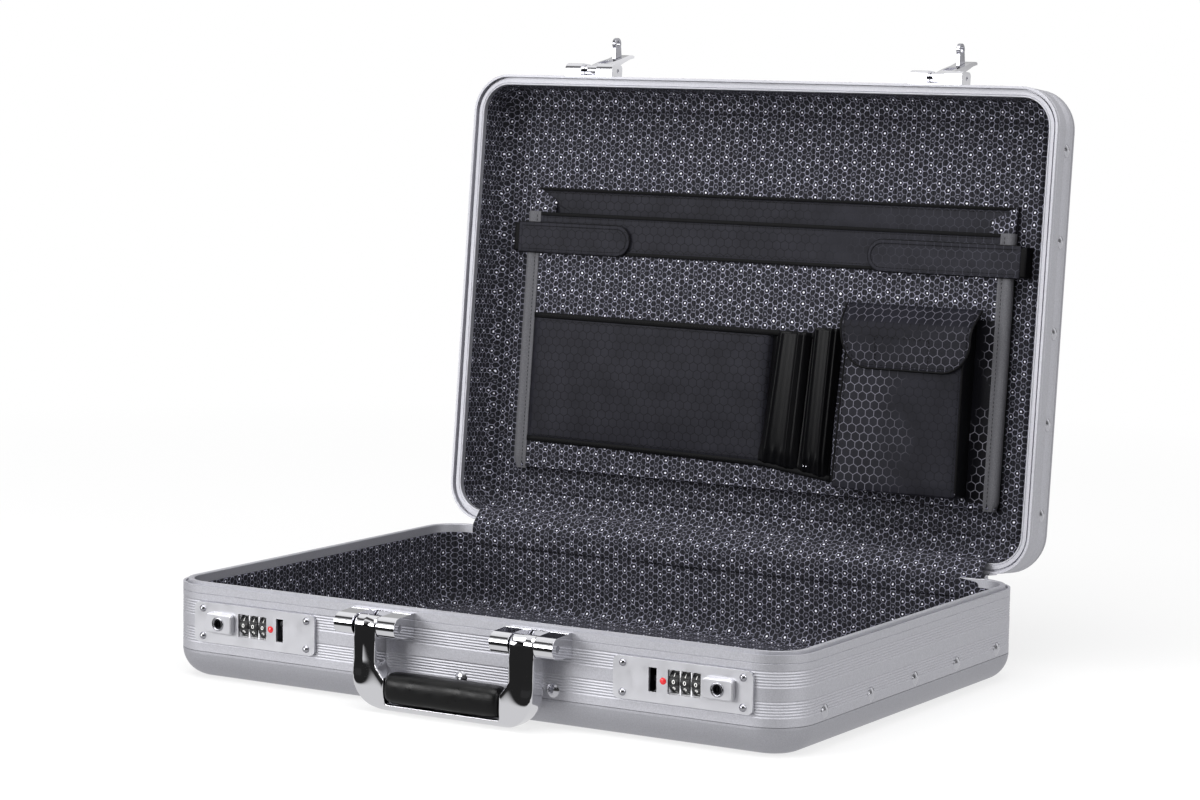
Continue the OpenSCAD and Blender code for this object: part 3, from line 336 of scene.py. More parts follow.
# a window in the front wall behind each lock, which the lock's own box covers
for x in (-WINDOW_X[1], -WINDOW_X[0], *WINDOW_X):
    cut(bm, (x, 0, 0), (1, 0, 0))
for z in WINDOW_Z:
    cut(bm, (0, 0, z), (0, 0, 1))
windows = [
    face for face in bm.faces
    for at in [face.calc_center_median() / mm]
    if WINDOW_X[0] < abs(at.x) < WINDOW_X[1] and WINDOW_Z[0] < at.z < WINDOW_Z[1]
    and at.y < -150
]
bmesh.ops.delete(bm, geom=windows, context="FACES")
lay_cloth(bm)
base_lining = piece_from(bm, "base_lining_cloth", print_cloth)
thicken(base_lining, 2)
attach(base_lining, "base")
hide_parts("base_lining")

for side, name in SIDES:
    bm = bmesh.new()
    bmesh.ops.create_cube(bm, size=1)
    bmesh.ops.scale(bm, vec=(88 * mm, 11.3 * mm, 51 * mm), verts=bm.verts)
    bmesh.ops.translate(
        bm, vec=(side * 153 * mm, -CASE_D / 2 + 10.85 * mm, 30.2 * mm), verts=bm.verts
    )
    round_off(bm, bm.edges, 2.5 * mm, 3)
    bm.normal_update()
    bmesh.ops.delete(bm, geom=[f for f in bm.faces if f.normal.y < -0.3], context="FACES")
    lay_cloth(bm)
    cover = piece_from(bm, name + "_lock_box_cloth", print_cloth)
    thicken(cover, 1)
    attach(cover, "base")


# --- Lining of the lid ----------------------------------------------------------------
# The same printed cloth on foam board, folded to a shallower tub that fills the lid. Its
# lower edge ends under the strip that covers the hinge.

# x, distance s up the lid from its rear wall, and distance out of the lid to the room
ON_LID = (
    Matrix.Translation((0, 162.5 * mm, 60 * mm))
    @ Matrix.Rotation(-OPEN_ANGLE, 4, "X")
    @ Matrix(((1, 0, 0, 0), (0, -1, 0, -3.5 * mm), (0, 0, -1, 0), (0, 0, 0, 1)))
)

bm = tub(27.1 * mm)
bmesh.ops.translate(bm, vec=(0, CASE_D / 2, -6.4 * mm), verts=bm.verts)
lay_cloth(bm)
bm.transform(ON_LID)
lid_lining = piece_from(bm, "lid_lining_cloth", print_cloth)
thicken(lid_lining, 2)
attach(lid_lining, "lid")
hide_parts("lid_lining")


# --- Hinge cover ----------------------------------------------------------------------
# A strip of the lining cloth is glued to the rear wall of the base, goes over both rims
# and ends on the lining of the lid. It hides the piano hinge.


def swept(path, way, steps):
    """A sheet from a line of points (x, y, z) in millimetres, drawn out along a vector."""
    bm = bmesh.new()
    line = [bm.verts.new(Vector(p) * mm) for p in path]
    edges = [bm.edges.new(pair) for pair in zip(line, line[1:])]
    for _ in range(steps):
        drawn = bmesh.ops.extrude_edge_only(bm, edges=edges)["geom"]
        edges = [e for e in drawn if isinstance(e, bmesh.types.BMEdge) and
                 abs((e.verts[0].co - e.verts[1].co).dot(Vector(way).normalized())) < 1e-7]
        moved = {v for e in edges for v in e.verts}
        bmesh.ops.translate(bm, vec=Vector(way) * mm / steps, verts=list(moved))
    bmesh.ops.recalc_face_normals(bm, faces=bm.faces)
    return bm


def ruffle(bm, size, depth, stretch=(1, 1, 1), seed=0):
    """Moves each point along its normal by soft noise, as loose cloth lies."""
    bm.normal_update()
    for vert in bm.verts:
        at = Vector([vert.co[i] * stretch[i] / (size * mm) for i in range(3)])
        vert.co += vert.normal * depth * mm * noise.noise(at + Vector((seed, 0, 0)))


def face_out(bm):
    """Turns an open sheet's faces up, or out of the lid where it is drawn on that."""
    bm.normal_update()
    if sum(face.normal.z for face in bm.faces) < 0:
        bmesh.ops.reverse_faces(bm, faces=bm.faces)


COVER_LEN = 394
cover_path = [
    (0, 151.2, 48), (0, 151.3, 54), (0, 151.2, 59), (0, 151.6, 62), (0, 153.4, 64.4),
    (0, 156, 66.6), (0, 158.2, 69.4), (0, 160.6, 71.9), (0, 163.6, 73), (0, 166.8, 72.2),
    (0, 169.8, 71.2), (0, 172.8, 71.4), (0, 175.6, 70.9), (0, 177.6, 69.9),
]
bm = swept([(-COVER_LEN / 2, y, z) for _, y, z in cover_path], (COVER_LEN, 0, 0), 72)
layer = bm.loops.layers.uv.verify()
run = [0]
for (_, y0, z0), (_, y1, z1) in zip(cover_path, cover_path[1:]):
    run.append(run[-1] + math.hypot(y1 - y0, z1 - z0) * mm)
for face in bm.faces:
    for loop in face.loops:
        near = min(
            range(len(run)),
            key=lambda i: (loop.vert.co.yz - Vector(cover_path[i][1:]) * mm).length,
        )
        loop[layer].uv = (loop.vert.co.x, run[near])
face_out(bm)
ruffle(bm, 22, 1.1, (0.5, 1, 1), 3)
cover_cloth = piece_from(bm, "hinge_cover_cloth", print_cloth, 80)
thicken(cover_cloth, 0.9)
soft = cover_cloth.modifiers.new("soft", "SUBSURF")
soft.levels = soft.render_levels = 1
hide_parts("hinge_cover")
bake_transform(cover_cloth)


# --- Handle ---------------------------------------------------------------------------
# A zinc casting, polished and chrome plated, swings on two pins in chromed brackets. The
# grip is a foam core wrapped in black leather with its seam underneath.


def softened(name, material, body, width, segments=3):
    """A copy of a CAD piece with its triangles joined and its edges rounded over."""
    bm = bmesh.new()
    bm.from_mesh(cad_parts[name].data)
    bmesh.ops.remove_doubles(bm, verts=bm.verts, dist=0.002 * mm)
    bmesh.ops.dissolve_limit(bm, angle_limit=math.radians(0.8), verts=bm.verts, edges=bm.edges)
    sharp = [
        edge for edge in bm.edges
        if edge.is_manifold and edge.calc_face_angle() > math.radians(32)
    ]
    bmesh.ops.bevel(
        bm, geom=sharp, offset=width * mm, segments=segments, profile=0.5, affect="EDGES",
        clamp_overlap=True, material=-1,
    )
    made = piece_from(bm, name + "_casting", material, 40)
    shade = made.modifiers.new("even_shade", "WEIGHTED_NORMAL")
    shade.keep_sharp, shade.weight = True, 100
    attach(made, body)
    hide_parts(name)
    return made


def melted(name, voxel, passes):
    """A new mesh from a CAD piece whose edges have flowed, as on a polished casting."""
    bm = bmesh.new()
    bm.from_mesh(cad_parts[name].data)
    bmesh.ops.remove_doubles(bm, verts=bm.verts, dist=0.002 * mm)
    blank = bpy.data.objects.new("blank", bpy.data.meshes.new("blank"))
    bm.to_mesh(blank.data)
    bm.free()
    bpy.context.collection.objects.link(blank)
    grid = blank.modifiers.new("grid", "REMESH")
    grid.mode, grid.voxel_size = "VOXEL", voxel * mm
    flow = blank.modifiers.new("flow", "SMOOTH")
    flow.factor, flow.iterations = 0.5, passes
    bpy.context.view_layer.update()
    shaped = bmesh.new()
    shaped.from_object(blank, bpy.context.evaluated_depsgraph_get())
    bpy.data.objects.remove(blank)
    return shaped


chrome = bare_metal("chrome_plated_zinc", "#E2E2E6", 0.05, 60)
ARM_X, ARM_HALF, BEND_Z, WALL_SIDE_Y = 47.5, 8, 16, -166
bm = melted("handle_frame", 0.6, 30)
for vert in bm.verts:
    # the arms are crowned, and the front rolls under towards the bottom bar
    x, y, z = vert.co / mm
    straight = min(1, max(0, (z - BEND_Z) / BEND_Z))
    straight *= straight * (3 - 2 * straight)
    crown = 0.9 * min(1.5, ((abs(x) - ARM_X) / ARM_HALF) ** 2) * straight
    roll = 2.4 * (max(0, (15 - z) / 13)) ** 2 + 0.05
    vert.co.y += (crown + roll) * mm * max(0, min(1, (WALL_SIDE_Y - y) / 12))
casting = piece_from(bm, "handle_frame_casting", chrome, 60)
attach(casting, "handle")
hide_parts("handle_frame")
for side in ("left", "right"):
    softened(side + "_handle_bracket", chrome, "base", 1.0)
paint(["handle_pins", "handle_screws"], steel)


def tube(bm, rings):
    """Joins rings of points to a tube with closed ends."""
    for one, other in zip(rings, rings[1:]):
        for k in range(len(one)):
            bm.faces.new((one[k], one[k - 1], other[k - 1], other[k]))
    bmesh.ops.holes_fill(bm, edges=bm.edges, sides=0)
    bmesh.ops.recalc_face_normals(bm, faces=bm.faces)


GRIP_HALF, GRIP_Y, GRIP_Z = 40.9, -175, 16
leather = finish("black_grip_leather", "#040405", Roughness=0.36, Specular_IOR_Level=0.22)
place = node(leather, "TexCoord").outputs["Object"]
# hide grain of about 1.1 mm with finer pores between
pebble = node(leather, "TexVoronoi", {"Vector": place, "Scale": 1 / (1.1 * mm)},
              feature="SMOOTH_F1")
crease = node(leather, "TexNoise", {"Vector": place, "Scale": 160, "Detail": 5})
height = node(leather, "Math", {0: pebble, 1: crease}, operation="ADD")
rough = node(leather, "MapRange", {"Value": crease, 1: 0.3, 2: 0.7, 3: 0.26, 4: 0.46})
relief = node(leather, "Bump", {"Height": height, "Strength": 0.12, "Distance": 0.2 * mm})
give(leather, Roughness=rough, Normal=relief)

bm = bmesh.new()
rings, steps, corners = [], 30, 28
for i in range(steps + 1):
    share = 2 * i / steps - 1
    # the wrap swells to the middle and is drawn in at both ends, where it is tucked
    swell = 0.95 + 0.05 * math.sqrt(max(0, 1 - share**2)) - 0.1 * abs(share) ** 18
    ring = []
    for k in range(corners):
        turn = 2 * math.pi * k / corners
        # its section is a full rounded square
        y, z = (
            math.copysign(abs(way(turn)) ** 0.8, way(turn)) for way in (math.cos, math.sin)
        )
        point = (share * GRIP_HALF, GRIP_Y + 8.9 * swell * y, GRIP_Z + 9.9 * swell * z)
        ring.append(bm.verts.new(Vector(point) * mm))
    rings.append(ring)
tube(bm, rings)
ruffle(bm, 9, 0.28, (0.6, 1, 1), 7)
grip = piece_from(bm, "handle_grip_leather", leather, 50)
soft = grip.modifiers.new("soft", "SUBSURF")
soft.levels = soft.render_levels = 1
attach(grip, "handle")
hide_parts("handle_grip")


# --- Locks ----------------------------------------------------------------------------
# Die cast plates with a satin nickel plating are riveted to the wall over a moulded white
# housing. A sliding button with a key plug frees the hasp, and three moulded wheels carry
# the numbers.

satin = bare_metal("satin_nickel_plate", "#D3D3D8", 0.46, 120)
polished = bare_metal("polished_rivet_steel", "#A2A2A8", 0.12, 200)
# the key plug's steel is painted near-black: painted shade for its deep keyhole
key_plug_shade_steel = bare_metal("key_plug_painted_shade", "#26262A", 0.35, 300)
FRONT, LOCK_X, WHEEL_Z = -159, 153.7, 38.2
WELL_X, WELL_HALF_W, WELL_HALF_H = 134, 3.6, 7.7  # the well that takes the hasp's hook

# moulded acetal: an even milky white with a faint orange peel
housing_plastic = finish("white_moulded_acetal", "#E9E9EC", Roughness=0.42, IOR=1.48)
place = node(housing_plastic, "TexCoord").outputs["Object"]
mottle = node(housing_plastic, "TexNoise", {"Vector": place, "Scale": 900, "Detail": 2})
relief = node(housing_plastic, "Bump", {"Height": mottle, "Strength": 0.1, "Distance": 0.1 * mm})
# the inside of the hasp's well is painted black: painted shade for the deep recess
size = node(housing_plastic, "VectorMath", {0: place}, operation="ABSOLUTE")
off = node(
    housing_plastic, "VectorMath", {0: size, 1: (WELL_X * mm, 0, WHEEL_Z * mm)},
    operation="SUBTRACT",
)
off = node(housing_plastic, "SeparateXYZ",
           {0: node(housing_plastic, "VectorMath", {0: off}, operation="ABSOLUTE")})
wide, tall = (
    node(housing_plastic, "Math", {0: off.outputs[axis], 1: half * mm}, operation="LESS_THAN")
    for axis, half in (("X", WELL_HALF_W), ("Z", WELL_HALF_H))
)
well_shade = node(housing_plastic, "Math", {0: wide, 1: tall}, operation="MULTIPLY")
tone = node(housing_plastic, "MixRGB", {0: well_shade, 1: linear("#E9E9EC"), 2: linear("#08080A")})
give(housing_plastic, Base_Color=tone, Normal=relief)

# the wheels' acetal: black, with a gloss that handling has made uneven
wheel_plastic = finish("black_moulded_acetal", "#141416", Roughness=0.35, IOR=1.48)
place = node(wheel_plastic, "TexCoord").outputs["Object"]
mottle = node(wheel_plastic, "TexNoise", {"Vector": place, "Scale": 1200, "Detail": 2})
rough = node(wheel_plastic, "MapRange", {"Value": mottle, 1: 0.3, 2: 0.7, 3: 0.28, 4: 0.46})
give(wheel_plastic, Roughness=rough)


def film(name, colour, tones, spots, **sockets):
    """Enamel or paint in a thin film: one clean colour that drifts a little in depth."""
    made = finish(name, colour, **sockets)
    place = node(made, "TexCoord").outputs["Object"]
    mottle = node(made, "TexNoise", {"Vector": place, "Scale": spots, "Detail": 2})
    light, dark = tones
    tone = node(made, "MixRGB", {0: mottle, 1: linear(light), 2: linear(dark)})
    give(made, Base_Color=tone)
    return made


signal_red = film(
    "red_enamel", "#C8141F", ("#D01824", "#B8101A"), 700, Roughness=0.22, Coat_Weight=0.5, IOR=1.5
)
digit_paint = film(
    "white_digit_paint", "#F2F2F0", ("#FAFAF8", "#DDDDDA"), 1500, Roughness=0.5
)
paint(["lock_indicators"], signal_red)
paint(["lock_rivets"], polished)
WHEEL_X, WHEEL_PITCH, WHEEL_R, WHEEL_IN = 1.4, 7.4, 6.8, 5.2
FILM = 0.03  # half the thickness of the paint of a number
RING_R, RING_WIRE, KEY_X, KEY_Y = 3.7, 0.75, LOCK_X + 25.3, FRONT - 6.05


def wheel_digits(x, name, body):
    """The ten numbers of one wheel, each bent round it and raised by a film of paint."""
    bm = bmesh.new()
    for digit in range(10):
        text = bpy.data.curves.new("digit", "FONT")
        text.body, text.size, text.extrude = str(digit), 3.5 * mm, FILM * mm
        text.align_x, text.align_y, text.resolution_u = "CENTER", "CENTER", 3
        shown = bpy.data.objects.new("digit", text)
        bpy.context.collection.objects.link(shown)
        bpy.context.view_layer.update()
        mesh = bpy.data.meshes.new_from_object(
            shown.evaluated_get(bpy.context.evaluated_depsgraph_get())
        )
        bpy.data.objects.remove(shown)
        bpy.data.curves.remove(text)
        one = bmesh.new()
        one.from_mesh(mesh)
        bmesh.ops.remove_doubles(one, verts=one.verts, dist=0.001 * mm)
        for step in range(-8, 9):
            cut(one, (0, step * 0.2, 0), (0, 1, 0))
        for vert in one.verts:
            radius = (WHEEL_R + FILM) * mm + vert.co.z
            turn = vert.co.y / radius + math.radians(36 * digit)
            vert.co = Vector((
                x * mm + vert.co.x * 1.25,
                (FRONT + WHEEL_IN) * mm - radius * math.cos(turn),
                WHEEL_Z * mm + radius * math.sin(turn),
            ))
        one.to_mesh(mesh)
        one.free()
        bm.from_mesh(mesh)
        bpy.data.meshes.remove(mesh)
    made = piece_from(bm, name, digit_paint, 30)
    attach(made, body)


for side, name in ((-1, "left_"), (1, "right_")):
    softened(name + "lock_plate", satin, "base", 0.45, 2)
    softened(name + "button", satin, name + "button", 0.7, 3)
    paint([name + "lock_housing"], housing_plastic)
    # the key plug is painted near-black, as painted shade in its deep keyhole
    paint([name + "key_plug"], key_plug_shade_steel)
    paint([name + "dial_shaft", name + "catch"], steel)
    for place_along in (-1, 0, 1):
        wheel = f"{name}dial_{place_along + 2}"
        paint([wheel], wheel_plastic)
        x = side * (LOCK_X + WHEEL_X + place_along * WHEEL_PITCH)
        wheel_digits(x, wheel + "_digits", wheel)

    # a chromed ring is pressed in round the key plug
    bm = bmesh.new()
    bmesh.ops.create_circle(
        bm, segments=12, radius=RING_WIRE * mm, matrix=Matrix.Translation((RING_R * mm, 0, 0))
        @ Matrix.Rotation(math.pi / 2, 4, "X"),
    )
    bmesh.ops.spin(
        bm, geom=bm.verts[:] + bm.edges[:], cent=(0, 0, 0), axis=(0, 0, 1),
        angle=2 * math.pi, steps=32, use_merge=True,
    )
    bmesh.ops.remove_doubles(bm, verts=bm.verts, dist=0.01 * mm)
    bmesh.ops.recalc_face_normals(bm, faces=bm.faces)
    bm.transform(
        Matrix.Translation((side * KEY_X * mm, KEY_Y * mm, WHEEL_Z * mm))
        @ Matrix.Rotation(math.pi / 2, 4, "X")
    )
    ring = piece_from(bm, name + "key_ring", polished, 60)
    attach(ring, name + "button")


# --- Hasps ----------------------------------------------------------------------------
# On the lid's front edge: a chromed bracket, a cast lever with a dished stem, and a steel
# hook whose eye the lock's catch goes through.

for side in ("left_", "right_"):
    softened(side + "hasp_bracket", chrome, "lid", 0.9, 3)
    softened(side + "hasp_lever", chrome, side + "hasp", 0.6, 3)
    softened(side + "hasp_hook", polished, side + "hasp", 0.35, 2)
    paint([side + "hasp_pin"], steel)
paint(["hasp_rivets"], steel)


# --- Document pocket in the lid -------------------------------------------------------
# Two boards stand one behind the other, joined by folded side cloths. The rear one is
# covered with embossed leatherette and the front one with the printed cloth.


def hex_leatherette(name, ground, shaded_line, bright, painted_sheen):
    """Vinyl leather cloth embossed with hexagons: soft black, with a painted sheen on its lines.

    The lines turn from a painted shade to a painted highlight along the axis that the sheen
    argument names first, between the two distances after it."""
    made = finish(name, ground, Roughness=0.5, IOR=1.5, Specular_IOR_Level=0.08)
    place = node(made, "TexCoord").outputs["UV"]
    # upright hexagons, 6.3 mm from one to the next
    pitch = 6.3 * mm
    near = to_rim(made, place, pitch)
    lines = node(
        made, "MapRange", {"Value": near, 1: 0.45 * pitch, 2: 0.48 * pitch, 3: 0, 4: 1}
    )
    # painted sheen: the lines' colour runs from painted shade to painted highlight across the
    # cloth, along a wavering edge
    along = node(made, "SeparateXYZ", {0: place}).outputs[painted_sheen[0]]
    drift = node(made, "TexNoise", {"Vector": place, "Scale": 30, "Detail": 2})
    wavy = node(made, "MapRange", {"Value": drift, 1: 0.3, 2: 0.7, 3: -12 * mm, 4: 12 * mm})
    at = node(made, "Math", {0: along, 1: wavy}, operation="ADD")
    share = node(made, "MapRange", {"Value": at, 1: painted_sheen[1], 2: painted_sheen[2], 3: 0, 4: 1})
    ink = node(made, "MixRGB", {0: share, 1: linear(shaded_line), 2: linear(bright)})
    skin = node(made, "TexVoronoi", {"Vector": place, "Scale": 1 / (0.5 * mm)})
    cloud = node(made, "TexNoise", {"Vector": place, "Scale": 55, "Detail": 3})
    shade = node(made, "MapRange", {"Value": cloud, 1: 0.3, 2: 0.7, 3: 0.8, 4: 1.2})
    hide = node(made, "MixRGB", {0: 1, 1: linear(ground), 2: shade}, blend_type="MULTIPLY")
    tone = node(made, "MixRGB", {0: lines, 1: hide, 2: ink})
    rough = node(made, "MapRange", {"Value": lines, 1: 0, 2: 1, 3: 0.5, 4: 0.44})
    fine = node(made, "Bump", {"Height": skin, "Strength": 0.1, "Distance": 0.1 * mm})
    relief = node(
        made, "Bump", {"Height": lines, "Normal": fine, "Strength": 0.4, "Distance": 0.12 * mm},
        invert=True,
    )
    give(made, Base_Color=tone, Roughness=rough, Normal=relief)
    return made


def plain_cloth(name, colour, roughness, thread, strength):
    """Woven tape, satin or thread: one colour, with a weave of the given thread width."""
    made = finish(name, colour, Roughness=roughness, Specular_IOR_Level=0.12)
    place = node(made, "TexCoord").outputs["Object"]
    weave = node(made, "TexVoronoi", {"Vector": place, "Scale": 1 / (thread * mm)})
    tone = node(made, "MapRange", {"Value": weave, 1: 0, 2: 0.9, 3: 0.75, 4: 1.15})
    tinted = node(made, "MixRGB", {0: 1, 1: linear(colour), 2: tone}, blend_type="MULTIPLY")
    relief = node(made, "Bump", {"Height": weave, "Strength": strength, "Distance": 0.15 * mm})
    give(made, Base_Color=tinted, Normal=relief)
    return made


def board(x, s, out, corner=0, where=None, soft=0.35):
    """A flat piece on the lid, from ranges in millimetres, with rounded front edges.

    corner rounds the upright edges too, or those that where picks by their x and s."""
    bm = bmesh.new()
    bmesh.ops.create_cube(bm, size=1)
    bmesh.ops.scale(
        bm, vec=((x[1] - x[0]) * mm, (s[1] - s[0]) * mm, (out[1] - out[0]) * mm), verts=bm.verts
    )
    bmesh.ops.translate(
        bm, vec=Vector((sum(x), sum(s), sum(out))) * mm / 2, verts=bm.verts
    )
    if corner:
        upright = [
            e for e in bm.edges
            if (e.verts[0].co.xy - e.verts[1].co.xy).length < 1e-7
            and (where is None or where(e.verts[0].co.x / mm, e.verts[0].co.y / mm))
        ]
        round_off(bm, upright, corner * mm, 8)
    round_off(bm, front_face(bm).edges[:], soft * mm, 3)
    return bm


def front_face(bm):
    """The largest face that looks out of the lid."""
    bm.normal_update()
    return max((f for f in bm.faces if f.normal.z > 0.99), key=lambda f: f.calc_area())


def sink_field(bm, rim, depth):
    """Leaves a raised rim of the given width round the front, as a turned edge has."""
    field = front_face(bm)
    for width, drop in ((rim, 0), (0.3, depth)):
        bmesh.ops.inset_region(
            bm, faces=[field], thickness=width * mm, depth=-drop * mm, use_even_offset=True,
            use_boundary=True,
        )


def on_lid(bm, name, material, body="lid", angle=35):
    """Finishes a piece that was drawn on the flat lid, and sets it in the open lid."""
    lay_cloth(bm)
    bm.transform(ON_LID)
    made = piece_from(bm, name, material, angle)
    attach(made, body)
    return made


def stitches(name, runs, thread, body="lid", pitch=2.7, length=2.0, width=0.5):
    """Rows of stitches along lines of points (x, s, out) in millimetres."""
    bm = bmesh.new()
    for run in runs:
        points = [Vector(p) for p in run]
        for a, b in zip(points, points[1:]):
            way = b - a
            count = max(1, round(way.length / pitch))
            for i in range(count):
                at = a + way * ((i + 0.5) / count)
                place = (
                    Matrix.Translation(at * mm)
                    @ way.to_track_quat("X", "Z").to_matrix().to_4x4()
                    @ Matrix.Diagonal((length / 2 * mm, width / 2 * mm, 0.22 * mm, 1))
                )
                bmesh.ops.create_icosphere(bm, subdivisions=1, radius=1, matrix=place)
    return on_lid(bm, name, thread, body)


def cord(name, run, radius, body="lid"):
    """A black cord sewn in along a line of points (x, s, out) in millimetres."""
    bm = bmesh.new()
    points = [Vector(p) for p in run]
    rings = []
    for i, at in enumerate(points):
        way = points[min(i + 1, len(points) - 1)] - points[max(i - 1, 0)]
        turned = Matrix.Translation(at * mm) @ way.to_track_quat("Z", "Y").to_matrix().to_4x4()
        made = bmesh.ops.create_circle(bm, segments=8, radius=radius * mm, matrix=turned)
        rings.append(made["verts"])
    tube(bm, rings)
    return on_lid(bm, name, black_tape, body, 60)


# four copies of one leatherette: their ground tones and line colours differ as painted light and
# shade on each piece, with a painted reflection on the flange
leatherette = hex_leatherette(
    "embossed_leatherette", "#222228", "#121216", "#3A3A42", ("X", 0.02, 0.16)
)
pouch_leatherette = hex_leatherette(
    "embossed_leatherette_pouch", "#1D1D23", "#131318", "#686771", ("X", 0.130, 0.104)
)
flap_leatherette = hex_leatherette(
    "embossed_leatherette_flap", "#1A1A20", "#0C0C0F", "#55545D", ("Y", 0.158, 0.142)
)
flange_leatherette = hex_leatherette(
    "embossed_leatherette_flange", "#0F0F13", "#101014", "#7A7983", ("X", 0.168, 0.175)
)
grey_vinyl = plain_cloth("grey_vinyl_binding", "#58585C", 0.5, 0.7, 0.3)
black_tape = plain_cloth("black_woven_tape", "#08080A", 0.6, 0.6, 0.3)
black_satin = plain_cloth("black_satin_cloth", "#09090B", 0.36, 0.5, 0.08)
thread = plain_cloth("black_polyester_thread", "#050506", 0.5, 0.3, 0.2)

PANEL_HALF, PANEL_LOW, PANEL_TOP, BACK_TOP = 188, 40, 222, 240
FRONT_OUT, BACK_OUT = -26, -31.9  # front faces of the two boards

bm = board((-PANEL_HALF, PANEL_HALF), (PANEL_LOW, BACK_TOP), (-33.3, BACK_OUT), 2)
sink_field(bm, 1.6, 0.25)
back_board = on_lid(bm, "organiser_back_board", leatherette)
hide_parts("organiser_back")
for name, low, high in (("top", 238.2, 240.4), ("low", 220, 222.2)):
    bm = board((-PANEL_HALF - 0.3, PANEL_HALF + 0.3), (low, high), (-33.4, -31.2), 0.6, soft=0.6)
    on_lid(bm, f"organiser_back_piping_{name}", black_tape)
stitches(
    "organiser_back_stitches", [[(-PANEL_HALF + 2, 236.9, -31.9), (PANEL_HALF - 2, 236.9, -31.9)]],
    thread,
)

bm = board((-PANEL_HALF, PANEL_HALF), (PANEL_LOW, PANEL_TOP), (-28.9, FRONT_OUT), 2, soft=0.8)
front_board = on_lid(bm, "organiser_front_board", print_cloth)
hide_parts("organiser_front")

for side, name in SIDES:
    # folded side cloth between the boards
    bm = swept(
        [(side * 186.2, 0, -28.9), (side * 189.4, 0, -29.9), (side * 185.8, 0, -31),
         (side * 188.4, 0, -31.9)],
        (0, PANEL_TOP - PANEL_LOW, 0), 8,
    )
    bmesh.ops.translate(bm, vec=(0, PANEL_LOW * mm, 0), verts=bm.verts)
    fold = on_lid(bm, f"organiser_{name}_gusset", black_tape, angle=60)
    thicken(fold, 0.5, 0)

    # a corner of the printed cloth closes the top between the two boards
    bm = bmesh.new()
    corner = [(188, 241.5, -31), (170, 231.5, -30.9), (169, 222, -28.5), (188, 221, -27.6)]
    points = [bm.verts.new(Vector((side * x, s, out)) * mm) for x, s, out in corner]
    bm.faces.new(points if side < 0 else points[::-1])
    face_out(bm)
    bmesh.ops.subdivide_edges(bm, edges=bm.edges, cuts=7, use_grid_fill=True)
    ruffle(bm, 7, 0.9, seed=side)
    corner_cloth = on_lid(bm, f"organiser_{name}_corner", print_cloth, angle=70)
    thicken(corner_cloth, 0.6)

bm = board((-179, 179), (195, PANEL_TOP), (-25.95, -25.1), 0, soft=0.3)
sink_field(bm, 1.7, 0.3)
band = on_lid(bm, "organiser_band_hide", leatherette)
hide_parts("organiser_band")
for name, low, high in (("low", 194.2, 196.8), ("top", 220, 222.6)):
    bm = board((-179, 179), (low, high), (-25.98, -24.7), 0, soft=0.6)
    on_lid(bm, f"organiser_band_piping_{name}", black_tape)
stitches(
    "organiser_band_stitches",
    [[(-178, 197.9, -25.3), (178, 197.9, -25.3)], [(-178, 219, -25.3), (178, 219, -25.3)]],
    thread,
)

# grey vinyl is folded round each side of the front board: two ridges with a seam between
for side, name in SIDES:
    section = [
        (178.9, -26.2), (178.9, -25.3), (179.5, -24.9), (180.6, -24.9), (181.2, -25.3),
        (182, -25.5), (182.8, -25.2), (183.8, -24.6), (185.6, -24.2), (187.4, -24.5),
        (188.8, -25.4), (189.4, -26.8), (189.3, -28.9), (188.2, -29), (188.1, -26.3),
    ]
    bm = swept([(side * x, 0, out) for x, out in section + section[:1]], (0, 184, 0), 30)
    bmesh.ops.remove_doubles(bm, verts=bm.verts, dist=0.001 * mm)
    bmesh.ops.holes_fill(bm, edges=bm.edges, sides=0)
    bmesh.ops.recalc_face_normals(bm, faces=bm.faces)
    bmesh.ops.translate(bm, vec=(0, 39 * mm, 0), verts=bm.verts)
    for vert in bm.verts:
        # the lower end is turned under round the corner of the board
        rise = max(0, 1 - (vert.co.y / mm - 39) / 7)
        vert.co.z = max(vert.co.z - 1.4 * mm * rise**2, -29 * mm)
        vert.co.x -= side * 2.2 * mm * rise**2 * (abs(vert.co.x) > 186 * mm)
    ruffle(bm, 12, 0.25, (1, 1, 1), 5)
    binding = on_lid(bm, f"organiser_{name}_binding", grey_vinyl, angle=50)
    if side > 0:
        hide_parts("organiser_bindings")
    seam = side * 182
    stitches(
        f"organiser_{name}_binding_stitches", [[(seam, 42, -25.35), (seam, 221, -25.35)]], thread
    )


# --- Closure straps -------------------------------------------------------------------
# Two straps of the same leatherette, doubled and sewn round the edge, hold the pocket shut.
# Their black elastic roots are sewn to the lining beside the pocket.

STRAP_LOW, STRAP_W, STRAP_OUT, STRAP_ROOT = 193.5, 21.5, -22.9, 195.2


def strap_edge(side, tip, root, inset, out, step, root_inset=None):
    """Points along a strap's edge, from its root round the tip and back, set in from it."""
    middle, half = STRAP_LOW + STRAP_W / 2, STRAP_W / 2
    ends = inset if root_inset is None else root_inset
    points = [(side * root, STRAP_LOW + ends, out)]
    for degrees in range(-90, 91, step):
        a = math.radians(degrees)
        x = side * (tip + half - (half - inset) * math.cos(a))
        points.append((x, middle + (half - inset) * math.sin(a), out))
    return points + [(side * root, STRAP_LOW + STRAP_W - ends, out)]


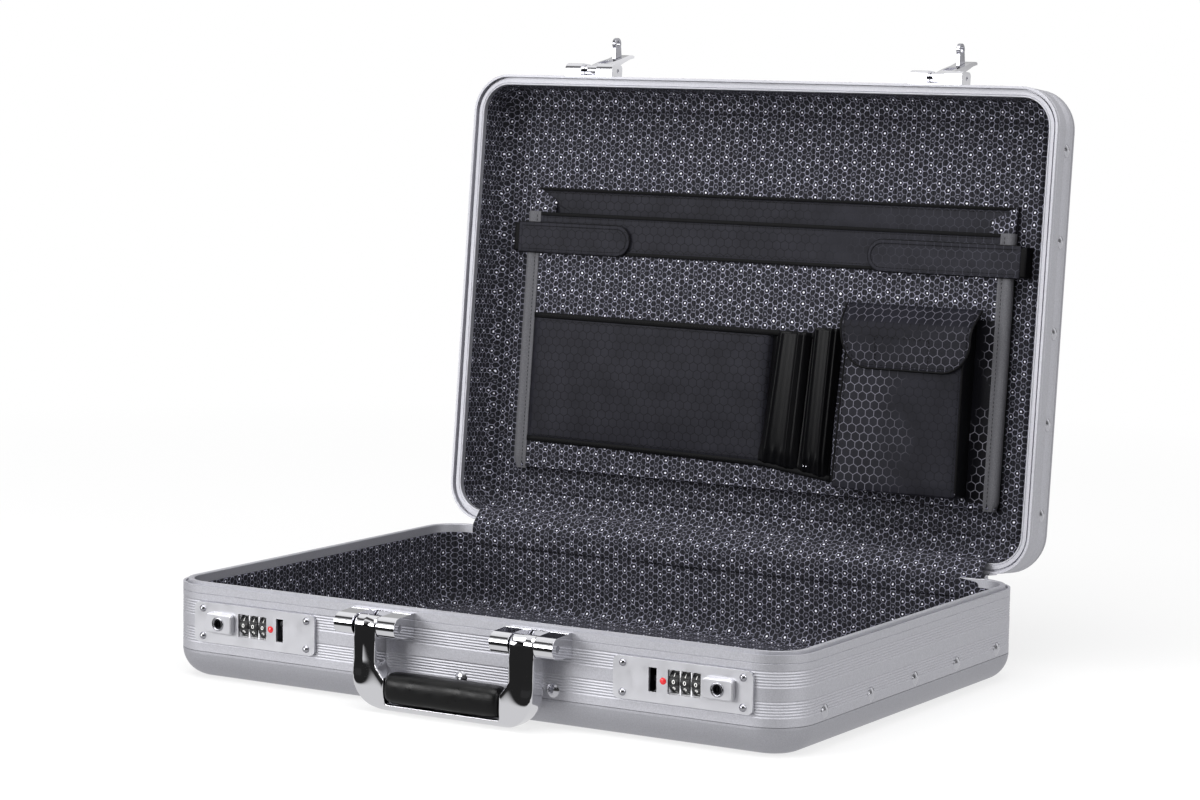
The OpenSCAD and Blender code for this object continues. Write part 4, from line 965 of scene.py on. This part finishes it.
for side, name, length in ((-1, "left", 92), (1, "right", 112)):
    tip = STRAP_ROOT - length
    bm = bmesh.new()
    outline = strap_edge(side, tip, STRAP_ROOT, 0, STRAP_OUT, 9)
    bm.faces.new([bm.verts.new(Vector(p) * mm) for p in outline])
    face_out(bm)
    drawn = bmesh.ops.extrude_face_region(bm, geom=bm.faces[:])["geom"]
    bmesh.ops.translate(
        bm, vec=(0, 0, -1.8 * mm), verts=[v for v in drawn if isinstance(v, bmesh.types.BMVert)]
    )
    bmesh.ops.recalc_face_normals(bm, faces=bm.faces)
    round_off(bm, front_face(bm).edges[:], 0.6 * mm, 3)
    sink_field(bm, 1.6, 0.25)
    strap = on_lid(bm, name + "_strap_hide", leatherette, name + "_strap")
    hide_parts(name + "_strap")
    edge = strap_edge(side, tip, STRAP_ROOT, 0.3, STRAP_OUT - 0.9, 15, 0.4)
    cord(name + "_strap_cord", edge, 0.75, name + "_strap")
    run = strap_edge(side, tip, STRAP_ROOT - 3, 2.6, STRAP_OUT - 0.1, 15)
    stitches(name + "_strap_stitches", [run], thread, name + "_strap")

    bm = board(
        (min(side * 193.4, side * 199.5), max(side * 193.4, side * 199.5)),
        (STRAP_LOW + 0.6, STRAP_LOW + STRAP_W - 0.6), (-33.3, -23.4), 0, soft=1.6,
    )
    elastic = on_lid(bm, name + "_strap_elastic", black_tape)
    if side > 0:
        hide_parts("strap_anchors")


# --- Long pocket ----------------------------------------------------------------------
# One sheet of leatherette is sewn to the front board along three sides and bellies out to
# its open top. Tape binds its edges and runs on over a satin backing under the sleeves.


def lid_sheet(columns, rows, shape):
    """A sheet on the lid from a grid, each point placed by its shares (0 to 1) of it."""
    bm = bmesh.new()
    bmesh.ops.create_grid(bm, x_segments=columns, y_segments=rows, size=0.5)
    for vert in bm.verts:
        vert.co = Vector(shape(vert.co.x + 0.5, vert.co.y + 0.5)) * mm
    face_out(bm)
    return bm


POCKET = (-178.7, 13.3, 60, 150)


def pocket_belly(u, v):
    """The hide of the pocket; it runs on flat beneath the pen sleeves where u passes 1."""
    x = POCKET[0] + (POCKET[1] - POCKET[0]) * u
    x += 4 * max(0, v - 0.5) * max(0, 1 - abs(u - 1) * 4)
    low = POCKET[2] - 3.5 * u - 20 * max(0, u - 1)
    s = low + (POCKET[3] - 1.5 * u - low) * v
    edge = (4 * min(u, 1) * (1 - min(u, 1))) ** 0.3
    out = -25.4 + 4.1 * edge * max(0, 1 - (1 - v) ** 3) ** 0.8
    return x, s, out + 0.25 * noise.noise(Vector((x / 26, s / 18, 4)))


bm = lid_sheet(48, 20, pocket_belly)
pocket = on_lid(bm, "long_pocket_hide", leatherette, angle=60)
thicken(pocket, 0.9)
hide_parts("long_pocket")
bm = lid_sheet(12, 20, lambda u, v: pocket_belly(1 + 0.27 * u, v))
backing = on_lid(bm, "pen_sleeve_backing", black_satin, angle=60)
thicken(backing, 0.6)


def pocket_tape(low, high):
    """Draws a bound edge: a band of tape over the hide, raised in its middle."""
    def shape(u, v):
        x, s, out = pocket_belly(1.275 * u, low + (high - low) * v)
        return x, s, out + 0.3 + 0.5 * math.sin(math.pi * v)

    return shape


for name, low, high in (("top", 0.968, 1.012), ("low", -0.012, 0.03)):
    bm = lid_sheet(60, 5, pocket_tape(low, high))
    tape = on_lid(bm, f"long_pocket_tape_{name}", black_tape, angle=60)
    thicken(tape, 1.4)
rows = [
    [Vector(pocket_belly(u / 24, v)) + Vector((0, 0, lift)) for u in range(25)]
    for v, lift in ((0.045, 0.15), (0.955, 0.15), (0.01, 0.85), (0.99, 0.85))
]
rows.append([Vector(pocket_belly(0.99, v / 8)) + Vector((0, 0, 0.2)) for v in range(9)])
stitches("long_pocket_stitches", rows, thread)


# --- Pen sleeves ----------------------------------------------------------------------
# Two sleeves of black satin are gathered at the foot and stand open at the top. The slack
# cloth falls in long pleats that lean with the pens.


def sleeve(left_top, left_low, right_top, right_low, top, low):
    """The shape of one sleeve: its ridges stand at both sides of a smooth hollow."""
    def shape(u, v):
        left = left_low + (left_top - left_low) * v**0.75
        right = right_low + (right_top - right_low) * v**0.85
        x = left + (right - left) * u
        round_out = math.sin(math.pi * u) ** 0.6
        full = 3.6 + 4.2 * (1 - (1 - v) ** 2) ** 0.7
        ridges = 1.5 * math.exp(-(((u - 0.2) / 0.06) ** 2))
        ridges += 1.7 * math.exp(-(((u - 0.74) / 0.05) ** 2))
        ridges += 1.2 * math.exp(-(((u - 0.88) / 0.04) ** 2))
        hollow = -1.5 * math.exp(-(((u - 0.48) / 0.17) ** 2))
        foot = min(1, (v / 0.1)) ** 0.5
        pucker = 0.7 * math.sin(u * 34 + 3 * v) * math.exp(-(((v - 0.07) / 0.05) ** 2))
        out = -25.6 + (full * round_out + ridges + hollow) * (0.2 + 0.8 * foot) + pucker * round_out
        sag = (1 - v) * 4.5 * (u - 0.5)
        return x, low + (top - low) * v - sag, min(out, -16.6)

    return shape


for i, edges in enumerate(
    ((19, 7.5, 45, 39.5, 149, 56.5), (46, 40, 68.5, 63, 153, 52.5))
):
    bm = lid_sheet(48, 44, sleeve(*edges))
    cloth = on_lid(bm, f"pen_sleeve_{i + 1}_satin", black_satin, angle=60)
    thicken(cloth, 0.7)
    if i == 0:
        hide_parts("pen_sleeves")
for x in (46.2, 48.4):
    bm = board((x - 0.55, x + 0.55), (57.6, 58.7), (-24.2, -21.6), 0.4, soft=0.3)
    on_lid(bm, f"pen_sleeve_eyelet_{int(x)}", polished)


# --- Phone pouch ----------------------------------------------------------------------
# A box of leatherette with satin sides is piped round its front edge. Its flap is one
# doubled sheet that is sewn behind the pouch and folds over the open top.

POUCH_X, POUCH_S, POUCH_OUT = (71, 166), (46, 166), (-25.9, -7)  # from and to, as drawn


def pouch_shape(x, s, out):
    """Draws the pouch in towards its top, and lays its front edge back under the flap."""
    rise = (s - POUCH_S[0]) / (POUCH_S[1] - POUCH_S[0])
    middle, half = 120.9 + 2.2 * rise, 46 - 3.2 * rise
    x = middle + (x - sum(POUCH_X) / 2) / (POUCH_X[1] - POUCH_X[0]) * 2 * half
    share = (out - POUCH_OUT[0]) / (POUCH_OUT[1] - POUCH_OUT[0])
    back = max(0, s - 146) * 0.62
    crown = 0.5 * math.sin(math.pi * min(1, max(0, (x - middle) / half / 2 + 0.5)))
    return x, s, POUCH_OUT[0] + share * (18.4 - back) + crown * max(0, share - 0.8) / 0.2


bm = board(POUCH_X, POUCH_S, POUCH_OUT, 3.5, lambda x, s: s < 100, soft=1.6)
bm.normal_update()
bmesh.ops.delete(bm, geom=[f for f in bm.faces if f.normal.y > 0.9], context="FACES")
for s in range(56, 164, 6):
    cut(bm, (0, s, 0), (0, 1, 0))
for x in range(77, 164, 8):
    cut(bm, (x, 0, 0), (1, 0, 0))
for vert in bm.verts:
    vert.co = Vector(pouch_shape(*(vert.co / mm))) * mm
pouch = on_lid(bm, "phone_pouch_hide", pouch_leatherette)
pouch.data.materials.append(black_satin)
for face in pouch.data.polygons:
    outward = ON_LID.to_3x3().inverted() @ face.normal
    face.material_index = int(outward.z < 0.5)
thicken(pouch, 1.2)
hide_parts("phone_pouch")
for side, x in (("left", 71.4), ("right", 165.6)):
    cord(
        f"phone_pouch_{side}_cord",
        [Vector(pouch_shape(x, s, -7.3)) for s in range(50, 163, 4)], 0.75,
    )
stitches(
    "phone_pouch_stitches",
    [
        [pouch_shape(x, s, -6.9) for s in range(50, 160, 6)] for x in (73.6, 163.4)
    ],
    thread,
)
bm = board((166.2, 180), (44, 165), (-25.98, -25), 1.5, soft=0.4)
on_lid(bm, "phone_pouch_flange", flange_leatherette)

FLAP_LOW, FLAP_W, FLAP_LONG = 128.3, 97, 50


def flap_shape(x, t, up=0.0):
    """Lays the flat flap: it hangs in front, bends softly and runs back to its seam."""
    bend, back = 24, 0.86  # where it begins to bend, and how steeply it runs back
    over = max(0, t - bend)
    turn = min(over / 9, 1) * back
    run = min(over, 9)
    s = FLAP_LOW + min(t, bend) + run * math.cos(turn / 2) + (over - run) * math.cos(turn)
    out = -5.4 - run * math.sin(turn / 2) - (over - run) * math.sin(turn)
    spread = 46.6 + 3.2 * max(0, (t - 12) / 38)
    middle = 124.3 - 3.2 * max(0, (t - 12) / 38)
    lift = 0.6 * math.sin(x / 19) * max(0, 1 - t / 30)
    return middle + x / (FLAP_W / 2) * spread, s, out + up + lift - 0.5


bm = bmesh.new()
bmesh.ops.create_grid(bm, x_segments=1, y_segments=1, size=0.5)
for vert in bm.verts:
    vert.co = Vector((FLAP_W * vert.co.x, FLAP_LONG * (vert.co.y + 0.5), 0)) * mm
round_off(bm, [v for v in bm.verts if v.co.y < 0.001], 20 * mm, 12, "VERTICES")
sink_field(bm, 1.5, 0.3)
for t in range(2, 50, 2):
    cut(bm, (0, t, 0), (0, 1, 0))
for x in range(-44, 48, 8):
    cut(bm, (x, 0, 0), (1, 0, 0))
for vert in bm.verts:
    vert.co = Vector(flap_shape(*(vert.co / mm))) * mm
flap = on_lid(bm, "pouch_flap_hide", flap_leatherette, "pouch_flap", 40)
thicken(flap, 1.4)
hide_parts("pouch_flap")
rim = [(-46, t) for t in range(46, 19, -3)]
rim += [
    (-28.5 - 17.5 * math.cos(math.radians(a)), 20.1 - 17.5 * math.sin(math.radians(a)))
    for a in range(0, 91, 10)
]
rim += [(x, 2.6) for x in range(-24, 1, 4)]
rim += [(-x, t) for x, t in rim[::-1]]
edge = [(-48.5, t) for t in range(49, 20, -3)]
edge += [
    (-28.5 - 20 * math.cos(math.radians(a)), 20 - 20 * math.sin(math.radians(a)))
    for a in range(0, 91, 9)
]
edge += [(x, 0) for x in range(-24, 1, 4)]
edge += [(-x, t) for x, t in edge[-2::-1]]
cord("pouch_flap_cord", [flap_shape(x, t, -0.3) for x, t in edge], 0.8, "pouch_flap")
tab = [(-23, t) for t in (3, 8, 13, 18, 21)] + [(x, 21) for x in range(-19, 20, 4)]
tab += [(18, t) for t in (21, 18, 13, 8, 3)]
stitches(
    "pouch_flap_stitches", [[flap_shape(x, t, 0.05) for x, t in run] for run in (rim, tab)],
    thread, "pouch_flap",
)


# --- Studio ---------------------------------------------------------------------------
# A pale floor, large soft lamps and a white surround. The camera stands where the
# photograph was taken from.


def ray_kinds(material):
    """Whether a ray is a mirrored one, and whether it comes straight to the camera."""
    path = node(material, "LightPath").outputs
    straight = {0: path["Is Camera Ray"], 1: path["Is Transmission Ray"]}
    return path["Is Glossy Ray"], node(material, "Math", straight, operation="MAXIMUM")


bpy.ops.mesh.primitive_plane_add(size=80)
floor = bpy.context.object
floor.name = "studio_floor"
paper = finish("white_studio_paper", "#F2F2F2", Roughness=0.9)
tree = paper.node_tree
mirrored, seen = ray_kinds(paper)
away = node(
    paper, "VectorMath", {0: node(paper, "TexCoord").outputs["Object"]}, operation="LENGTH"
)
far = node(paper, "MapRange", {"Value": away.outputs["Value"], 1: 0.35, 2: 1.6, 3: 0.7, 4: 1})
share = node(paper, "Math", {0: seen, 1: far}, operation="MULTIPLY")
share = node(paper, "Math", {0: share, 1: mirrored}, operation="MAXIMUM")
# metal mirrors the pale paper, and the dark room in front of it
depth = node(paper, "SeparateXYZ", {0: node(paper, "TexCoord").outputs["Object"]})
dark = node(
    paper, "MapRange", {"Value": depth.outputs["Y"], 1: -0.25, 2: -0.3, 3: 0.75, 4: 0.02},
    interpolation_type="SMOOTHSTEP",
)
level = node(paper, "MixRGB", {0: mirrored, 1: (1, 1, 1, 1), 2: dark})
glow = node(paper, "Emission", {"Color": level, "Strength": 1})
mixed = node(
    paper, "MixShader", {0: share, 1: tree.nodes["Principled BSDF"].outputs[0], 2: glow}
)
tree.links.new(mixed.outputs[0], tree.nodes["Material Output"].inputs["Surface"])
floor.data.materials.append(paper)

world = bpy.data.worlds.new("white_surround")
bpy.context.scene.world = world
world.use_nodes = True
mirrored, seen = ray_kinds(world)
# metal mirrors the white surround behind the case, the pale ceiling and the dark room
look = node(world, "TexCoord").outputs["Generated"]
front = node(world, "VectorMath", {0: look, 1: (0.5, -0.84, 0.1)}, operation="DOT_PRODUCT")
behind = node(
    world, "MapRange", {"Value": front.outputs["Value"], 1: -0.3, 2: 0.1, 3: 1, 4: 0.03},
    interpolation_type="SMOOTHSTEP",
)
way = node(world, "SeparateXYZ", {0: look})
height = way.outputs["Z"]
ceiling = node(
    world, "MapRange", {"Value": height, 1: 0.42, 2: 0.55, 3: 0.03, 4: 0.9},
    interpolation_type="SMOOTHSTEP",
)
rise = node(world, "MapRange", {"Value": height, 1: 0.12, 2: 0.5, 3: 0.1, 4: 1})
right = node(world, "MapRange", {"Value": way.outputs["X"], 1: -0.1, 2: 0.4, 3: 0.16, 4: 1})
rise = node(world, "Math", {0: rise, 1: right}, operation="MAXIMUM")
behind = node(world, "Math", {0: behind, 1: rise}, operation="MULTIPLY")
room = node(world, "Math", {0: behind, 1: ceiling}, operation="MAXIMUM")
# dark gaps between the white panels give polished metal its streaks
along = node(world, "VectorMath", {0: look, 1: (7, 3, 5)}, operation="DOT_PRODUCT")
wave = node(world, "Math", {0: along.outputs["Value"]}, operation="SINE")
panels = node(world, "MapRange", {"Value": wave, 1: -0.75, 2: -0.45, 3: 0.08, 4: 1})
room = node(world, "Math", {0: room, 1: panels}, operation="MULTIPLY")
level = node(world, "MixRGB", {0: mirrored, 1: (0.5, 0.5, 0.5, 1), 2: room})
level = node(world, "MixRGB", {0: seen, 1: level, 2: (1, 1, 1, 1)})
surround = world.node_tree.nodes["Background"]
surround.inputs["Strength"].default_value = 1
world.node_tree.links.new(level.outputs[0], surround.inputs["Color"])


def lamp(name, place, aim, size, power):
    """A soft box of the given width and height that looks at a point."""
    light = bpy.data.lights.new(name, "AREA")
    light.shape, light.size, light.size_y, light.energy = "RECTANGLE", *size, power
    made = bpy.data.objects.new(name, light)
    bpy.context.collection.objects.link(made)
    made.location = place
    made.rotation_euler = (Vector(aim) - Vector(place)).to_track_quat("-Z", "Y").to_euler()


lamp("top_box", (0.1, -0.9, 2.1), (0, 0, 0.1), (2.6, 1.6), 46)
lamp("left_box", (-1.5, -2.3, 0.8), (0, 0, 0.1), (1.7, 1.0), 44)
lamp("right_box", (2.2, -0.4, 1.0), (0, 0, 0.2), (0.9, 1.6), 18)

camera = bpy.data.cameras.new("camera")
SENSOR_W, PICTURE_W, FOCAL_PX = 36, 1200, 3301.566  # in mm, pixels and pixels
camera.sensor_width = SENSOR_W
camera.lens = FOCAL_PX * SENSOR_W / PICTURE_W
camera.clip_end = 200
AZIMUTH, ELEVATION, ROLL = (math.radians(a) for a in (31.071, 6.289, 0.896))
viewer = bpy.data.objects.new("camera", camera)
bpy.context.collection.objects.link(viewer)
viewer.location = Vector((1077.21, -1790.076, 408.07)) * mm
viewer.rotation_euler = (
    Matrix.Rotation(AZIMUTH, 3, "Z")
    @ Matrix.Rotation(math.pi / 2 - ELEVATION, 3, "X")
    @ Matrix.Rotation(ROLL, 3, "Z")
).to_euler()
bpy.context.scene.camera = viewer
bpy.context.scene.view_settings.view_transform = "Standard"
